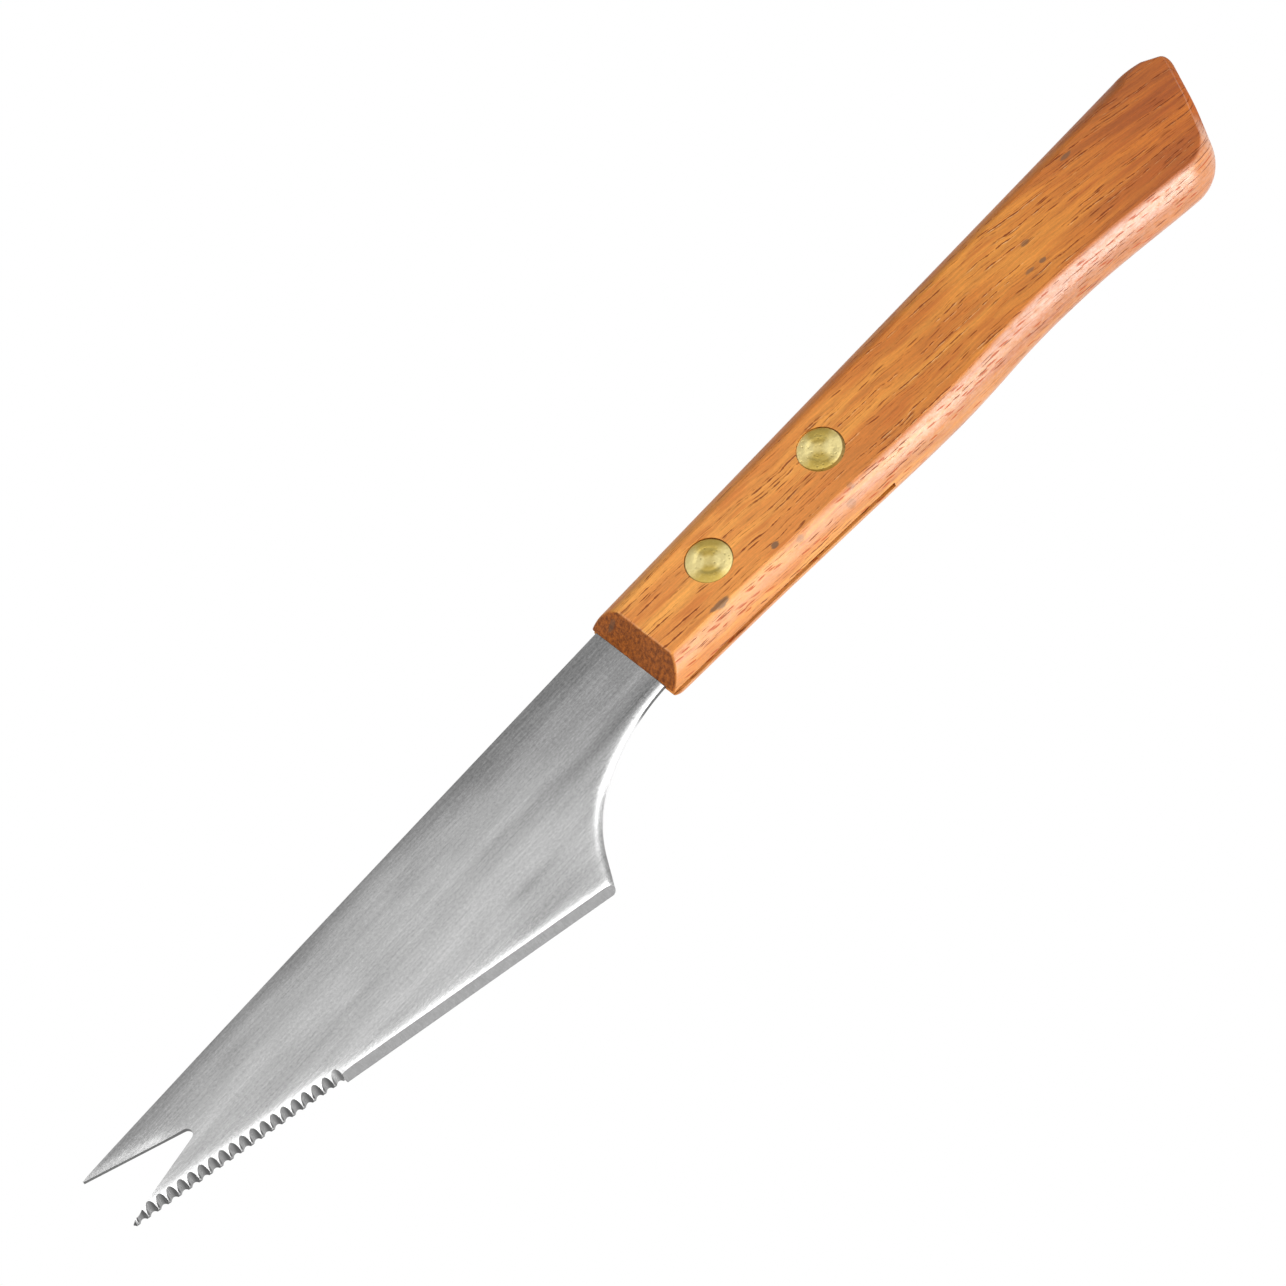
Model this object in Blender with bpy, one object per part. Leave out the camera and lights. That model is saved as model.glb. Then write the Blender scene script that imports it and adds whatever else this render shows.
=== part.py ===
"""Decorating knife: a stamped stainless blade with a forked tip and a scalloped edge, held in the
saw kerf of a one-piece wooden handle by two brass cutler's rivets.

Sizes are in metres. The pieces are drawn in the knife's own frame: X is zero where the blade
leaves the handle and grows towards the butt, Y grows from the edge towards the spine and is zero
midway between the rivets, and Z is zero in the middle of the blade's thickness. The knife_frame
empty lifts that frame until the handle's lower flat lies on Z = 0 of the world, with the world's
origin on that flat, midway between the rivets.
"""

import math

import bmesh
import bpy
from mathutils import Matrix, Vector

# Clearance left between the meshes of pieces that touch on the real knife
GAP = 0.0003

# Blade sheet, spine, and the tang with the steel it leaves behind the rear rivet's centre
BLADE_THICKNESS = 0.0009
BLADE_REACH = 0.1018
SPINE_Y = 0.00720
SPINE_DROP = 0.00046
SPINE_DROP_RUN = 0.0618
TANG_MARGIN = 0.0032
TANG_EDGE_Y = -0.00562
TANG_CORNER_RADIUS = 0.0015

# Neck between the tang and the heel: two arcs that run into each other, then a straight
NECK_START_X = 0.00065
NECK_FRONT_RADIUS = 0.0350
NECK_JOIN_SLOPE = math.radians(27.4)
NECK_REAR_RADIUS = 0.0213
NECK_END_SLOPE = math.radians(57.0)
HEEL_RADIUS = 0.0009

# Edge: a straight line that falls from the fork to the heel, ground on the upper face only
EDGE_ANGLE = math.radians(13.0)
EDGE_TIP_Y = -0.00377
BEVEL_WIDTH = 0.0013
EDGE_LAND = 0.00008

# Scallops along the front part of the edge, each a round flute sunk through the sheet
FLUTE_COUNT = 20
FLUTE_PITCH = 0.001667
FLUTE_RADIUS = 0.00095
FLUTE_REACH = 0.00175
FLUTE_NOTCH = 0.00038
TOOTH_SETBACK = 0.00051
SERRATION_REACH = 0.0689

# Fork at the tip
FORK_DEPTH = 0.0145
FORK_ROOT_Y = 0.00025
FORK_ROOT_RADIUS = 0.0009
UPPER_TINE_LAND = 0.00014
LOWER_TINE_LAND = 0.00045

# Handle outline in its middle plane
HANDLE_THICKNESS = 0.0090
HANDLE_TOP_Y = 0.00807
HANDLE_TOP_ANGLE = math.radians(-0.60)
UNDERSIDE = (
    (0.0, -0.00757),
    (0.0170, -0.00841),
    (0.0330, -0.00943),
    (0.0540, -0.01072),
    (0.0690, -0.01052),
    (0.0770, -0.01082),
    (0.0850, -0.01155),
    (0.0970, -0.01330),
)
BUTT_CROWN_X = 0.1073
BUTT_TIP = (0.1129, 0.0033)
BUTT_MIDDLE = (0.1096, -0.0042)
BUTT_HEEL = (0.1041, -0.0142)
BUTT_CROWN_RADIUS = 0.0090
BUTT_TIP_RADIUS = 0.0017
BUTT_MIDDLE_RADIUS = 0.0400
BUTT_HEEL_RADIUS = 0.0073

# Rounding of the handle's sides: how far each side has drawn in where it meets the flats,
# and the half height of the oval that the sides follow
SPINE_ROUND = 0.0030
UNDERSIDE_ROUND = 0.0026
BUTT_ROUND = 0.0012
OVAL_RISE = 0.0001
FRONT_TIP_X = -0.0006
FRONT_ANGLE = math.radians(38.5)

# Rivets: a solid post pressed into a tubular one, each with a domed head let into the wood
FRONT_RIVET_X = 0.0163
RIVET_SPACING = 0.0217
RIVET_LINE_ANGLE = math.radians(-2.0)
HEAD_DIAMETER = 0.0067
HEAD_HEIGHT = 0.0010
HEAD_RIM_DROP = 0.00028
HEAD_SINK = 0.00005
SOCKET_DIAMETER = 0.0036
POST_DIAMETER = 0.0020

# Facets of the round stretches: how far a chord may stray from its arc, and counts
ARC_TOLERANCE = 0.00001
LATHE_SEGMENTS = 32
FLUTE_SEGMENTS = 20
SPINE_STEPS = 6
UNDERSIDE_STEPS = 5
SIDE_STEPS = 5
DOME_STEPS = 5
SMOOTH_ANGLE = math.radians(28)

HALF_BLADE = BLADE_THICKNESS / 2
HALF_HANDLE = HANDLE_THICKNESS / 2
RIVET_MIDDLE_X = FRONT_RIVET_X + RIVET_SPACING * math.cos(RIVET_LINE_ANGLE) / 2
REAR_RIVET_X = 2 * RIVET_MIDDLE_X - FRONT_RIVET_X
TANG_REACH = REAR_RIVET_X + TANG_MARGIN
KERF_REACH = TANG_REACH + GAP
EDGE_DIRECTION = Vector((math.cos(EDGE_ANGLE), -math.sin(EDGE_ANGLE)))
EDGE_INWARD = Vector((math.sin(EDGE_ANGLE), math.cos(EDGE_ANGLE)))


def clear_scene():
    for old in list(bpy.data.objects):
        bpy.data.objects.remove(old, do_unlink=True)


def make_material(name, color, metallic, roughness):
    material = bpy.data.materials.new(name)
    material.use_nodes = True
    shader = material.node_tree.nodes["Principled BSDF"]
    shader.inputs["Base Color"].default_value = (*color, 1.0)
    shader.inputs["Metallic"].default_value = metallic
    shader.inputs["Roughness"].default_value = roughness
    return material


def add_object(name, bm, frame, material=None, smooth_angle=None):
    """Turn a bmesh into an object that hangs on the knife's frame."""
    bmesh.ops.recalc_face_normals(bm, faces=bm.faces)
    mesh = bpy.data.meshes.new(name)
    bm.to_mesh(mesh)
    bm.free()
    if smooth_angle is not None:
        mesh.shade_smooth()
        mesh.set_sharp_from_angle(angle=smooth_angle)
    obj = bpy.data.objects.new(name, mesh)
    obj.parent = frame
    bpy.context.scene.collection.objects.link(obj)
    if material is not None:
        mesh.materials.append(material)
    return obj


def cut(target, cutter):
    """Subtract a cutter from a piece and keep the cutter out of sight."""
    cutter.hide_render = True
    cutter.display_type = "WIRE"
    modifier = target.modifiers.new("cut_" + cutter.name, "BOOLEAN")
    modifier.operation = "DIFFERENCE"
    modifier.solver = "EXACT"
    modifier.object = cutter


def arc(centre, radius, start, end):
    """Points of an arc from one angle to another, both ends included."""
    widest_step = 2 * math.acos(1 - ARC_TOLERANCE / radius)
    steps = max(1, math.ceil(abs(end - start) / widest_step))
    angles = [start + (end - start) * i / steps for i in range(steps + 1)]
    return [centre + radius * Vector((math.cos(a), math.sin(a))) for a in angles]


def angle_of(vector):
    return math.atan2(vector.y, vector.x)


def fillet(before, corner, after, radius):
    """Round a corner with an arc that is tangent to both of its sides."""
    to_before = (before - corner).normalized()
    to_after = (after - corner).normalized()
    half = to_before.angle(to_after) / 2
    centre = corner + (to_before + to_after).normalized() * radius / math.sin(half)
    start = angle_of(corner + to_before * radius / math.tan(half) - centre)
    end = angle_of(corner + to_after * radius / math.tan(half) - centre)
    turn = (end - start + math.pi) % (2 * math.pi) - math.pi
    return arc(centre, radius, start, start + turn)


def tangent_angle(point, centre, radius, side):
    """Angle on a circle where the line from an outside point touches it."""
    towards = point - centre
    return angle_of(towards) + side * math.acos(radius / towards.length)


def extrude_outline(outline, low, high):
    """A plate with the given outline between two heights."""
    bm = bmesh.new()
    face = bm.faces.new([bm.verts.new((p.x, p.y, low)) for p in outline])
    grown = bmesh.ops.extrude_face_region(bm, geom=[face])["geom"]
    moved = [g for g in grown if isinstance(g, bmesh.types.BMVert)]
    bmesh.ops.translate(bm, verts=moved, vec=(0.0, 0.0, high - low))
    return bm


def lathe(profile, centre):
    """A closed solid turned about the Z axis through a point of the XY plane.

    The profile is a list of (radius, height) pairs that starts and ends on the axis."""
    bm = bmesh.new()
    rings = []
    for radius, height in profile:
        if radius == 0.0:
            rings.append([bm.verts.new((centre.x, centre.y, height))])
            continue
        turns = [2 * math.pi * i / LATHE_SEGMENTS for i in range(LATHE_SEGMENTS)]
        ring = [(centre.x + radius * math.cos(t), centre.y + radius * math.sin(t)) for t in turns]
        rings.append([bm.verts.new((x, y, height)) for x, y in ring])
    for low, high in zip(rings, rings[1:]):
        for i in range(LATHE_SEGMENTS):
            corners = [low[i % len(low)], low[(i + 1) % len(low)]]
            corners += [high[(i + 1) % len(high)], high[i % len(high)]]
            bm.faces.new(list(dict.fromkeys(corners)))
    return bm


def edge_point(x, inset=0.0):
    """Point of the edge line at a distance from the handle, or of a line inside it."""
    tip = Vector((-BLADE_REACH, EDGE_TIP_Y)) + EDGE_INWARD * inset
    return tip + EDGE_DIRECTION * (x - tip.x) / EDGE_DIRECTION.x


def spine_points():
    """The spine from the tang's end to the fork, straight and then falling slightly."""
    points = [Vector((TANG_REACH, SPINE_Y))]
    for i in range(SPINE_STEPS + 1):
        share = i / SPINE_STEPS
        x = SPINE_DROP_RUN * (1 - share) - BLADE_REACH
        points.append(Vector((x, SPINE_Y - SPINE_DROP * share**2)))
    return points


def fork_points():
    """The notch between the tines, from the upper tip round its root to the lower tip."""
    upper = Vector((-BLADE_REACH, SPINE_Y - SPINE_DROP - UPPER_TINE_LAND))
    lower = edge_point(-BLADE_REACH, TOOTH_SETBACK) + Vector((0.0, LOWER_TINE_LAND))
    root = Vector((FORK_DEPTH - FORK_ROOT_RADIUS - BLADE_REACH, FORK_ROOT_Y))
    start = tangent_angle(upper, root, FORK_ROOT_RADIUS, -1)
    end = tangent_angle(lower, root, FORK_ROOT_RADIUS, 1)
    turn = (end - start) % (2 * math.pi) - 2 * math.pi
    return [upper] + arc(root, FORK_ROOT_RADIUS, start, start + turn) + [lower]


def neck_points():
    """The hollow under the handle's front, from the heel up to the tang's lower edge."""
    front = Vector((NECK_START_X, TANG_EDGE_Y - NECK_FRONT_RADIUS))
    join = math.pi / 2 + NECK_JOIN_SLOPE
    end = math.pi / 2 + NECK_END_SLOPE
    towards_join = Vector((math.cos(join), math.sin(join)))
    rear = front + towards_join * (NECK_FRONT_RADIUS - NECK_REAR_RADIUS)
    arcs = arc(front, NECK_FRONT_RADIUS, math.pi / 2, join)
    arcs += arc(rear, NECK_REAR_RADIUS, join, end)[1:]
    run = Vector((-math.cos(NECK_END_SLOPE), -math.sin(NECK_END_SLOPE)))
    height = (arcs[-1] - edge_point(0.0)).dot(EDGE_INWARD)
    heel = arcs[-1] - run * height / run.dot(EDGE_INWARD)
    return fillet(edge_point(-BLADE_REACH), heel, arcs[-1], HEEL_RADIUS) + arcs[::-1]


def blade_outline():
    """Outline of the stamped sheet, tang included."""
    setback_tip = edge_point(-BLADE_REACH, TOOTH_SETBACK)
    setback_end = edge_point(-SERRATION_REACH, TOOTH_SETBACK)
    outline = spine_points() + fork_points() + [setback_tip, setback_end]
    outline += [edge_point(-SERRATION_REACH)] + neck_points()
    tang_low = Vector((TANG_REACH, TANG_EDGE_Y))
    outline += fillet(outline[-1], tang_low, outline[0], TANG_CORNER_RADIUS)
    outline += fillet(tang_low, outline[0], outline[1], TANG_CORNER_RADIUS)
    return outline[1:]


def bevel_cutter(frame):
    """A long prism whose slanted side grinds the plain edge to the back face."""
    rise = Vector((BEVEL_WIDTH, BLADE_THICKNESS - EDGE_LAND))
    edge = Vector((0.0, EDGE_LAND - HALF_BLADE))
    low, high = edge - rise, edge + 2 * rise
    section = [low, high, Vector((low.x, high.y))]
    start = edge_point(-SERRATION_REACH - FLUTE_PITCH / 2)
    end = edge_point(NECK_START_X)
    bm = bmesh.new()
    rings = []
    for place in (start, end):
        spots = [place + EDGE_INWARD * s.x for s in section]
        rings.append([bm.verts.new((p.x, p.y, s.y)) for p, s in zip(spots, section)])
    for i in range(len(section)):
        j = (i + 1) % len(section)
        bm.faces.new((rings[0][i], rings[0][j], rings[1][j], rings[1][i]))
    bm.faces.new(rings[0])
    bm.faces.new(list(reversed(rings[1])))
    return add_object("bevel_cutter", bm, frame)


def flute_cutter(name, first, frame):
    """Every second flute of the scalloped edge, as tilted round bars."""
    floor_run = FLUTE_REACH - FLUTE_NOTCH
    slope = math.atan2(BLADE_THICKNESS, floor_run)
    up = Vector((-math.sin(slope), math.cos(slope)))
    along = Vector((math.cos(slope), math.sin(slope)))
    middle = Vector((FLUTE_NOTCH, -HALF_BLADE)) + up * FLUTE_RADIUS
    half_length = FLUTE_REACH / math.cos(slope) + 2 * FLUTE_RADIUS
    axis = Vector((*(EDGE_INWARD * along.x), along.y))
    turn = axis.to_track_quat("Z", "Y").to_matrix().to_4x4()
    bm = bmesh.new()
    for i in range(first, FLUTE_COUNT, 2):
        start = edge_point(-SERRATION_REACH, TOOTH_SETBACK)
        place = start - EDGE_DIRECTION * FLUTE_PITCH * (i + 0.5) + EDGE_INWARD * middle.x
        bmesh.ops.create_cone(
            bm,
            cap_ends=True,
            segments=FLUTE_SEGMENTS,
            radius1=FLUTE_RADIUS,
            radius2=FLUTE_RADIUS,
            depth=2 * half_length,
            matrix=Matrix.Translation((place.x, place.y, middle.y)) @ turn,
        )
    return add_object(name, bm, frame)


def rivet_places():
    """Centres of the front and the rear rivet."""
    step = Vector((math.cos(RIVET_LINE_ANGLE), math.sin(RIVET_LINE_ANGLE))) * RIVET_SPACING
    middle = Vector((RIVET_MIDDLE_X, 0.0))
    return {"front": middle - step / 2, "rear": middle + step / 2}


def make_blade(frame, material):
    bm = extrude_outline(blade_outline(), -HALF_BLADE, HALF_BLADE)
    blade = add_object("blade", bm, frame, material)
    cut(blade, bevel_cutter(frame))
    cut(blade, flute_cutter("odd_flutes", 0, frame))
    cut(blade, flute_cutter("even_flutes", 1, frame))
    for name, place in rivet_places().items():
        radius = SOCKET_DIAMETER / 2 + GAP
        reach = BLADE_THICKNESS
        profile = [(0.0, -reach), (radius, -reach), (radius, reach), (0.0, reach)]
        cut(blade, add_object(name + "_tang_hole", lathe(profile, place), frame))
    return blade


def handle_outline():
    """The handle's outline in its middle plane, each point with its side's rounding.

    It runs along the top from the front, round the butt and back along the underside."""
    top_front = Vector((0.0, HANDLE_TOP_Y))
    crown = Vector((BUTT_CROWN_X, HANDLE_TOP_Y + BUTT_CROWN_X * math.tan(HANDLE_TOP_ANGLE)))
    tip, middle, heel = Vector(BUTT_TIP), Vector(BUTT_MIDDLE), Vector(BUTT_HEEL)
    underside = underside_points()

    crown_arc = fillet(top_front, crown, tip, BUTT_CROWN_RADIUS)
    end = fillet(crown, tip, middle, BUTT_TIP_RADIUS)
    end += fillet(tip, middle, heel, BUTT_MIDDLE_RADIUS)
    heel_arc = fillet(middle, heel, underside[0], BUTT_HEEL_RADIUS)
    rounded = [(top_front, SPINE_ROUND)]
    rounded += blend_rounding(crown_arc, SPINE_ROUND, BUTT_ROUND)
    rounded += blend_rounding(end, BUTT_ROUND, BUTT_ROUND)
    rounded += blend_rounding(heel_arc, BUTT_ROUND, UNDERSIDE_ROUND)
    rounded += [(p, UNDERSIDE_ROUND) for p in underside]
    return rounded


def blend_rounding(points, first, last):
    count = len(points) - 1
    return [(p, first + (last - first) * i / count) for i, p in enumerate(points)]


def underside_points():
    """A smooth curve through the underside's sizes, from the butt to the front."""
    knots = [Vector(p) for p in reversed(UNDERSIDE)]
    knots = [2 * knots[0] - knots[1]] + knots + [2 * knots[-1] - knots[-2]]
    points = []
    for a, b, c, d in zip(knots, knots[1:], knots[2:], knots[3:]):
        for i in range(UNDERSIDE_STEPS):
            t = i / UNDERSIDE_STEPS
            bend = (2 * a - 5 * b + 4 * c - d) * t**2 + (3 * b - 3 * c + d - a) * t**3
            points.append((2 * b + (c - a) * t + bend) / 2)
    return points + [knots[-2]]


def side_inset(height, rounding):
    """How far a side has drawn in at a height above or below the middle plane."""
    oval = HALF_HANDLE + OVAL_RISE
    at_flat = 1 - math.sqrt(1 - (HALF_HANDLE / oval) ** 2)
    return rounding * (1 - math.sqrt(1 - (height / oval) ** 2)) / at_flat


def handle_ring(outline, height):
    """The handle's outline at one height: sides drawn in, front sloped back."""
    ring = []
    last = len(outline) - 1
    for i, (point, rounding) in enumerate(outline):
        before = outline[max(i - 1, 0)][0]
        after = outline[min(i + 1, last)][0]
        run = (after - before).normalized()
        inward = Vector((run.y, -run.x))
        moved = point + inward * side_inset(height, rounding)
        if i in (0, last):
            moved.x = FRONT_TIP_X + abs(height) * math.tan(FRONT_ANGLE)
        ring.append(Vector((moved.x, moved.y, height)))
    return ring


def kerf_cutter(frame):
    """The saw cut that takes the tang, open at the front, the top and the underside."""
    half = HALF_BLADE + GAP
    low = Vector((-HANDLE_THICKNESS, -KERF_REACH))
    high = Vector((KERF_REACH, KERF_REACH))
    outline = [low, Vector((high.x, low.y)), high, Vector((low.x, high.y))]
    return add_object("kerf_cutter", extrude_outline(outline, -half, half), frame)


def rivet_bore(name, place, frame):
    """A through hole with a counterbore for the head at each flat."""
    head = HEAD_DIAMETER / 2 + GAP
    hole = SOCKET_DIAMETER / 2 + GAP
    seat = HALF_HANDLE - HEAD_SINK - HEAD_HEIGHT - GAP
    out = HANDLE_THICKNESS
    profile = [(0.0, -out), (head, -out), (head, -seat), (hole, -seat)]
    profile += [(hole, seat), (head, seat), (head, out), (0.0, out)]
    return add_object(name + "_rivet_bore", lathe(profile, place), frame)


def make_handle(frame, material):
    outline = handle_outline()
    angles = [math.pi / 2 * i / SIDE_STEPS for i in range(-SIDE_STEPS, SIDE_STEPS + 1)]
    bm = bmesh.new()
    rings = []
    for angle in angles:
        ring = handle_ring(outline, HALF_HANDLE * math.sin(angle))
        rings.append([bm.verts.new(p) for p in ring])
    for low, high in zip(rings, rings[1:]):
        for i in range(len(low)):
            bm.faces.new((low[i - 1], low[i], high[i], high[i - 1]))
    bm.faces.new(rings[0])
    bm.faces.new(list(reversed(rings[-1])))
    handle = add_object("handle", bm, frame, material, SMOOTH_ANGLE)
    cut(handle, kerf_cutter(frame))
    for name, place in rivet_places().items():
        cut(handle, rivet_bore(name, place, frame))
    return handle


def head_profile(side):
    """The head's dome from its centre to its seat, on the upper or the lower flat."""
    crown = HALF_HANDLE - HEAD_SINK
    seat = crown - HEAD_HEIGHT
    radius = HEAD_DIAMETER / 2
    dome = []
    for i in range(DOME_STEPS + 1):
        share = math.sin(math.pi / 2 * i / DOME_STEPS)
        dome.append((radius * share, side * (crown - HEAD_RIM_DROP * share**2)))
    return dome + [(radius, side * seat)]


def make_rivet(name, place, frame, material):
    """A rivet: the socket half comes from the lower flat, the post half from the upper one."""
    seat = HALF_HANDLE - HEAD_SINK - HEAD_HEIGHT
    post = POST_DIAMETER / 2
    bore = post + GAP
    socket = SOCKET_DIAMETER / 2
    post_end = GAP - seat
    upper = head_profile(1) + [(post, seat), (post, post_end), (0.0, post_end)]
    lower = head_profile(-1) + [(socket, -seat), (socket, seat - GAP), (bore, seat - GAP)]
    lower += [(bore, -seat), (0.0, -seat)]
    add_object(name + "_rivet_post", lathe(upper, place), frame, material, SMOOTH_ANGLE)
    add_object(name + "_rivet_socket", lathe(lower, place), frame, material, SMOOTH_ANGLE)


def main():
    clear_scene()
    frame = bpy.data.objects.new("knife_frame", None)
    frame.location = (-RIVET_MIDDLE_X, 0.0, HALF_HANDLE)
    bpy.context.scene.collection.objects.link(frame)
    steel = make_material("stainless_steel", (0.62, 0.62, 0.62), 1.0, 0.32)
    wood = make_material("varnished_wood", (0.66, 0.29, 0.08), 0.0, 0.35)
    brass = make_material("brass", (0.72, 0.61, 0.21), 1.0, 0.30)
    make_blade(frame, steel)
    make_handle(frame, wood)
    for name, place in rivet_places().items():
        make_rivet(name, place, frame, brass)


main()
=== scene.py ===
# %% [markdown]
# # A decorating knife
# The real object is a small kitchen knife: one stamped and ground stainless sheet with a forked tip, held in the saw
# kerf of a wooden handle by two brass rivets. The imported model has every piece at its right size. This lesson builds
# each piece again with the small forms that light shows up, such as the rolled rim that a stamping press leaves, and
# gives it a material made of nodes. We load the imported knife and keep the boxes of its blade and handle.

from math import acos, atan2, ceil, cos, exp, pi, radians, sin, tan

import bmesh
import bpy
import numpy as np
from mathutils import Matrix, Quaternion, Vector
from mathutils.geometry import delaunay_2d_cdt


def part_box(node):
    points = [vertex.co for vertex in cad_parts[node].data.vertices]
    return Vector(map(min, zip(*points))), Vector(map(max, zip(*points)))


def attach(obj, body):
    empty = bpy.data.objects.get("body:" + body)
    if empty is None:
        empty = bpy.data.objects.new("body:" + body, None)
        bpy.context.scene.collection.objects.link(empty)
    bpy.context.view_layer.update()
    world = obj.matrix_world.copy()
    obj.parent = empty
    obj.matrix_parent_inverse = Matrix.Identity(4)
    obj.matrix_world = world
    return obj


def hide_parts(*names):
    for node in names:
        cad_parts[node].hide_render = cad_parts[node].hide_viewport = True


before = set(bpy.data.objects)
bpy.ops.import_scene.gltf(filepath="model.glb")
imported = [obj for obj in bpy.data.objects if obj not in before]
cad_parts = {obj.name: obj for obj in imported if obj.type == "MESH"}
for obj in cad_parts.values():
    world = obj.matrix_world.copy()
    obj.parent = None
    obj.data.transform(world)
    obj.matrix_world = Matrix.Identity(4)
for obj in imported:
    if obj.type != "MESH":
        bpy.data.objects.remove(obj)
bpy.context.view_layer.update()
blade_low, blade_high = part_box("blade")
handle_low, handle_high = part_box("handle")
print("packed nodes:", sorted(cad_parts))

# %% [markdown]
# ## Sizes
# All sizes are in metres, in the knife's own frame: X is zero where the blade leaves the handle and grows towards the
# butt, Y grows from the edge to the spine, and Z is zero in the middle of the sheet. Where a size can be read from the
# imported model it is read, so the two can't drift apart. The helpers below draw the outlines' arcs and rounded corners.

# %% Frame and drawing helpers
MM = 0.001
BLADE_REACH = 0.1018
HALF_BLADE = (blade_high.z - blade_low.z) / 2
HALF_HANDLE = (handle_high.z - handle_low.z) / 2
KNIFE = Vector((blade_low.x + BLADE_REACH, 0.0, HALF_HANDLE))
ARC_STEP = radians(4.0)
ARC_LENGTH = 0.0006


def unit(angle):
    """The direction at an angle from X."""
    return Vector((cos(angle), sin(angle)))


def angle_of(vector):
    return atan2(vector.y, vector.x)


def arc(centre, radius, start, end):
    """Points of an arc from one angle to another, both ends included."""
    turn = abs(end - start)
    steps = max(2, ceil(max(turn / ARC_STEP, turn * radius / ARC_LENGTH)))
    return [centre + radius * unit(start + (end - start) * i / steps) for i in range(steps + 1)]


def fillet(before, corner, after, radius):
    """An arc that rounds a corner, tangent to both sides."""
    to_before = (before - corner).normalized()
    to_after = (after - corner).normalized()
    half = to_before.angle(to_after) / 2
    centre = corner + (to_before + to_after).normalized() * radius / sin(half)
    start = angle_of(corner + to_before * radius / tan(half) - centre)
    end = angle_of(corner + to_after * radius / tan(half) - centre)
    turn = (end - start + pi) % (2 * pi) - pi
    return arc(centre, radius, start, start + turn)


def tangent_angle(point, centre, radius, side):
    """Where on a circle the line from an outside point touches it."""
    towards = point - centre
    return angle_of(towards) + side * acos(radius / towards.length)


def subdivide(points, spacing):
    """The same line with a point at least every spacing."""
    dense = []
    for a, b in zip(points, points[1:]):
        steps = max(1, ceil((b - a).length / spacing))
        dense += [a.lerp(b, i / steps) for i in range(steps)]
    return dense + [points[-1]]


print("knife frame at", [round(1000 * c, 2) for c in KNIFE], "mm")

# %% [markdown]
# ## Node trees as expressions
# A material is a formula over the surface, which dozens of Math nodes clicked together would hide. So a small class
# wraps a node's output: adding or multiplying two of them adds the Math node and hands back its output. Every other
# node comes from one method, add, which sets the node's own settings first and then its sockets. Geometry Nodes share
# the Math node, so the same class serves them.

# %% The expression class


def operator(operation, swapped=False):
    """A method that adds one Math node, with its two sides swapped or not."""

    def method(self, other):
        return self.graph.math(operation, *((other, self) if swapped else (self, other)))

    return method


class Value:
    """A node's output socket that can be used in arithmetic."""

    def __init__(self, graph, socket):
        self.graph = graph
        self.socket = socket

    __add__ = __radd__ = operator("ADD")
    __mul__ = __rmul__ = operator("MULTIPLY")
    __sub__, __rsub__ = operator("SUBTRACT"), operator("SUBTRACT", swapped=True)
    __truediv__, __rtruediv__ = operator("DIVIDE"), operator("DIVIDE", swapped=True)
    __pow__ = operator("POWER")
    most = operator("MAXIMUM")
    least = operator("MINIMUM")

    def __abs__(self):
        return self.graph.math("ABSOLUTE", self)

    def out(self, name):
        """Another output of the same node."""
        return Value(self.graph, self.socket.node.outputs[name])

    def ramp(self, low, high):
        """0 below low, 1 above high, smooth in between."""
        sockets = {"Value": self, "From Min": low, "From Max": high}
        return self.graph.add("ShaderNodeMapRange", sockets, interpolation_type="SMOOTHSTEP")

    def split(self):
        """The three parts of a vector."""
        x = self.graph.add("ShaderNodeSeparateXYZ", {0: self})
        return x, x.out("Y"), x.out("Z")

    def scaled(self, factor):
        return self.graph.add("ShaderNodeVectorMath", {0: self, "Scale": factor}, operation="SCALE")

    def noise(self, scale=None, shift=(0.0, 0.0, 0.0), detail=2.0, roughness=0.5):
        """Smooth noise around one half; a large scale makes fine detail along its axis."""
        place = self.graph.vector("MULTIPLY_ADD", self, scale, shift) if scale else self
        sockets = {"Vector": place, "Scale": 1.0, "Detail": detail, "Roughness": roughness}
        return self.graph.add("ShaderNodeTexNoise", sockets)

    def under(self, *coats):
        """This colour under others, each laid on with its own share."""
        colour = self
        for share, coat in coats:
            colour = mix(share, colour, coat)
        return colour

    def bump(self, strength, depth):
        """The normal that follows this height, with the depth in millimetres."""
        sockets = {"Strength": strength, "Distance": depth * MM, "Height": self}
        return self.graph.add("ShaderNodeBump", sockets)


class Graph:
    """A node tree to which expressions add nodes."""

    def __init__(self, tree, owner=None):
        self.tree = tree
        self.owner = owner

    def add(self, kind, sockets=None, **settings):
        node = self.tree.nodes.new(kind)
        for name, value in settings.items():
            setattr(node, name, value)
        for key, value in (sockets or {}).items():
            if isinstance(value, Value):
                self.tree.links.new(value.socket, node.inputs[key])
            else:
                node.inputs[key].default_value = value
        return Value(self, next(s for s in node.outputs if s.enabled)) if node.outputs else node

    def math(self, operation, *values):
        return self.add("ShaderNodeMath", dict(enumerate(values)), operation=operation)

    def vector(self, operation, *values):
        return self.add("ShaderNodeVectorMath", dict(enumerate(values)), operation=operation)


def empty_graph(owner):
    """A material's or the world's node tree, cleared."""
    owner.use_nodes = True
    owner.node_tree.nodes.clear()
    return Graph(owner.node_tree, owner)


def join(first, *others):
    """A vector made of its parts."""
    return first.graph.add("ShaderNodeCombineXYZ", dict(enumerate((first, *others))))


def mix(share, *colours):
    """A colour between two colours."""
    first, second = (c if isinstance(c, Value) else (*c, 1.0) for c in colours)
    return share.graph.add("ShaderNodeMix", {0: share, 6: first, 7: second}, data_type="RGBA")


print("expression class ready")

# %% [markdown]
# ## Geometry Nodes helpers
# A tree is built once with named inputs. A modifier's inputs are set by the identifiers that Blender gave them, since
# two inputs may share a name. The finished shape is then taken as a plain mesh, because the exported model keeps
# neither modifiers nor instances.

# %% Helpers for trees and meshes
KINDS = {float: "Float", int: "Int", tuple: "Vector"}


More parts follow.
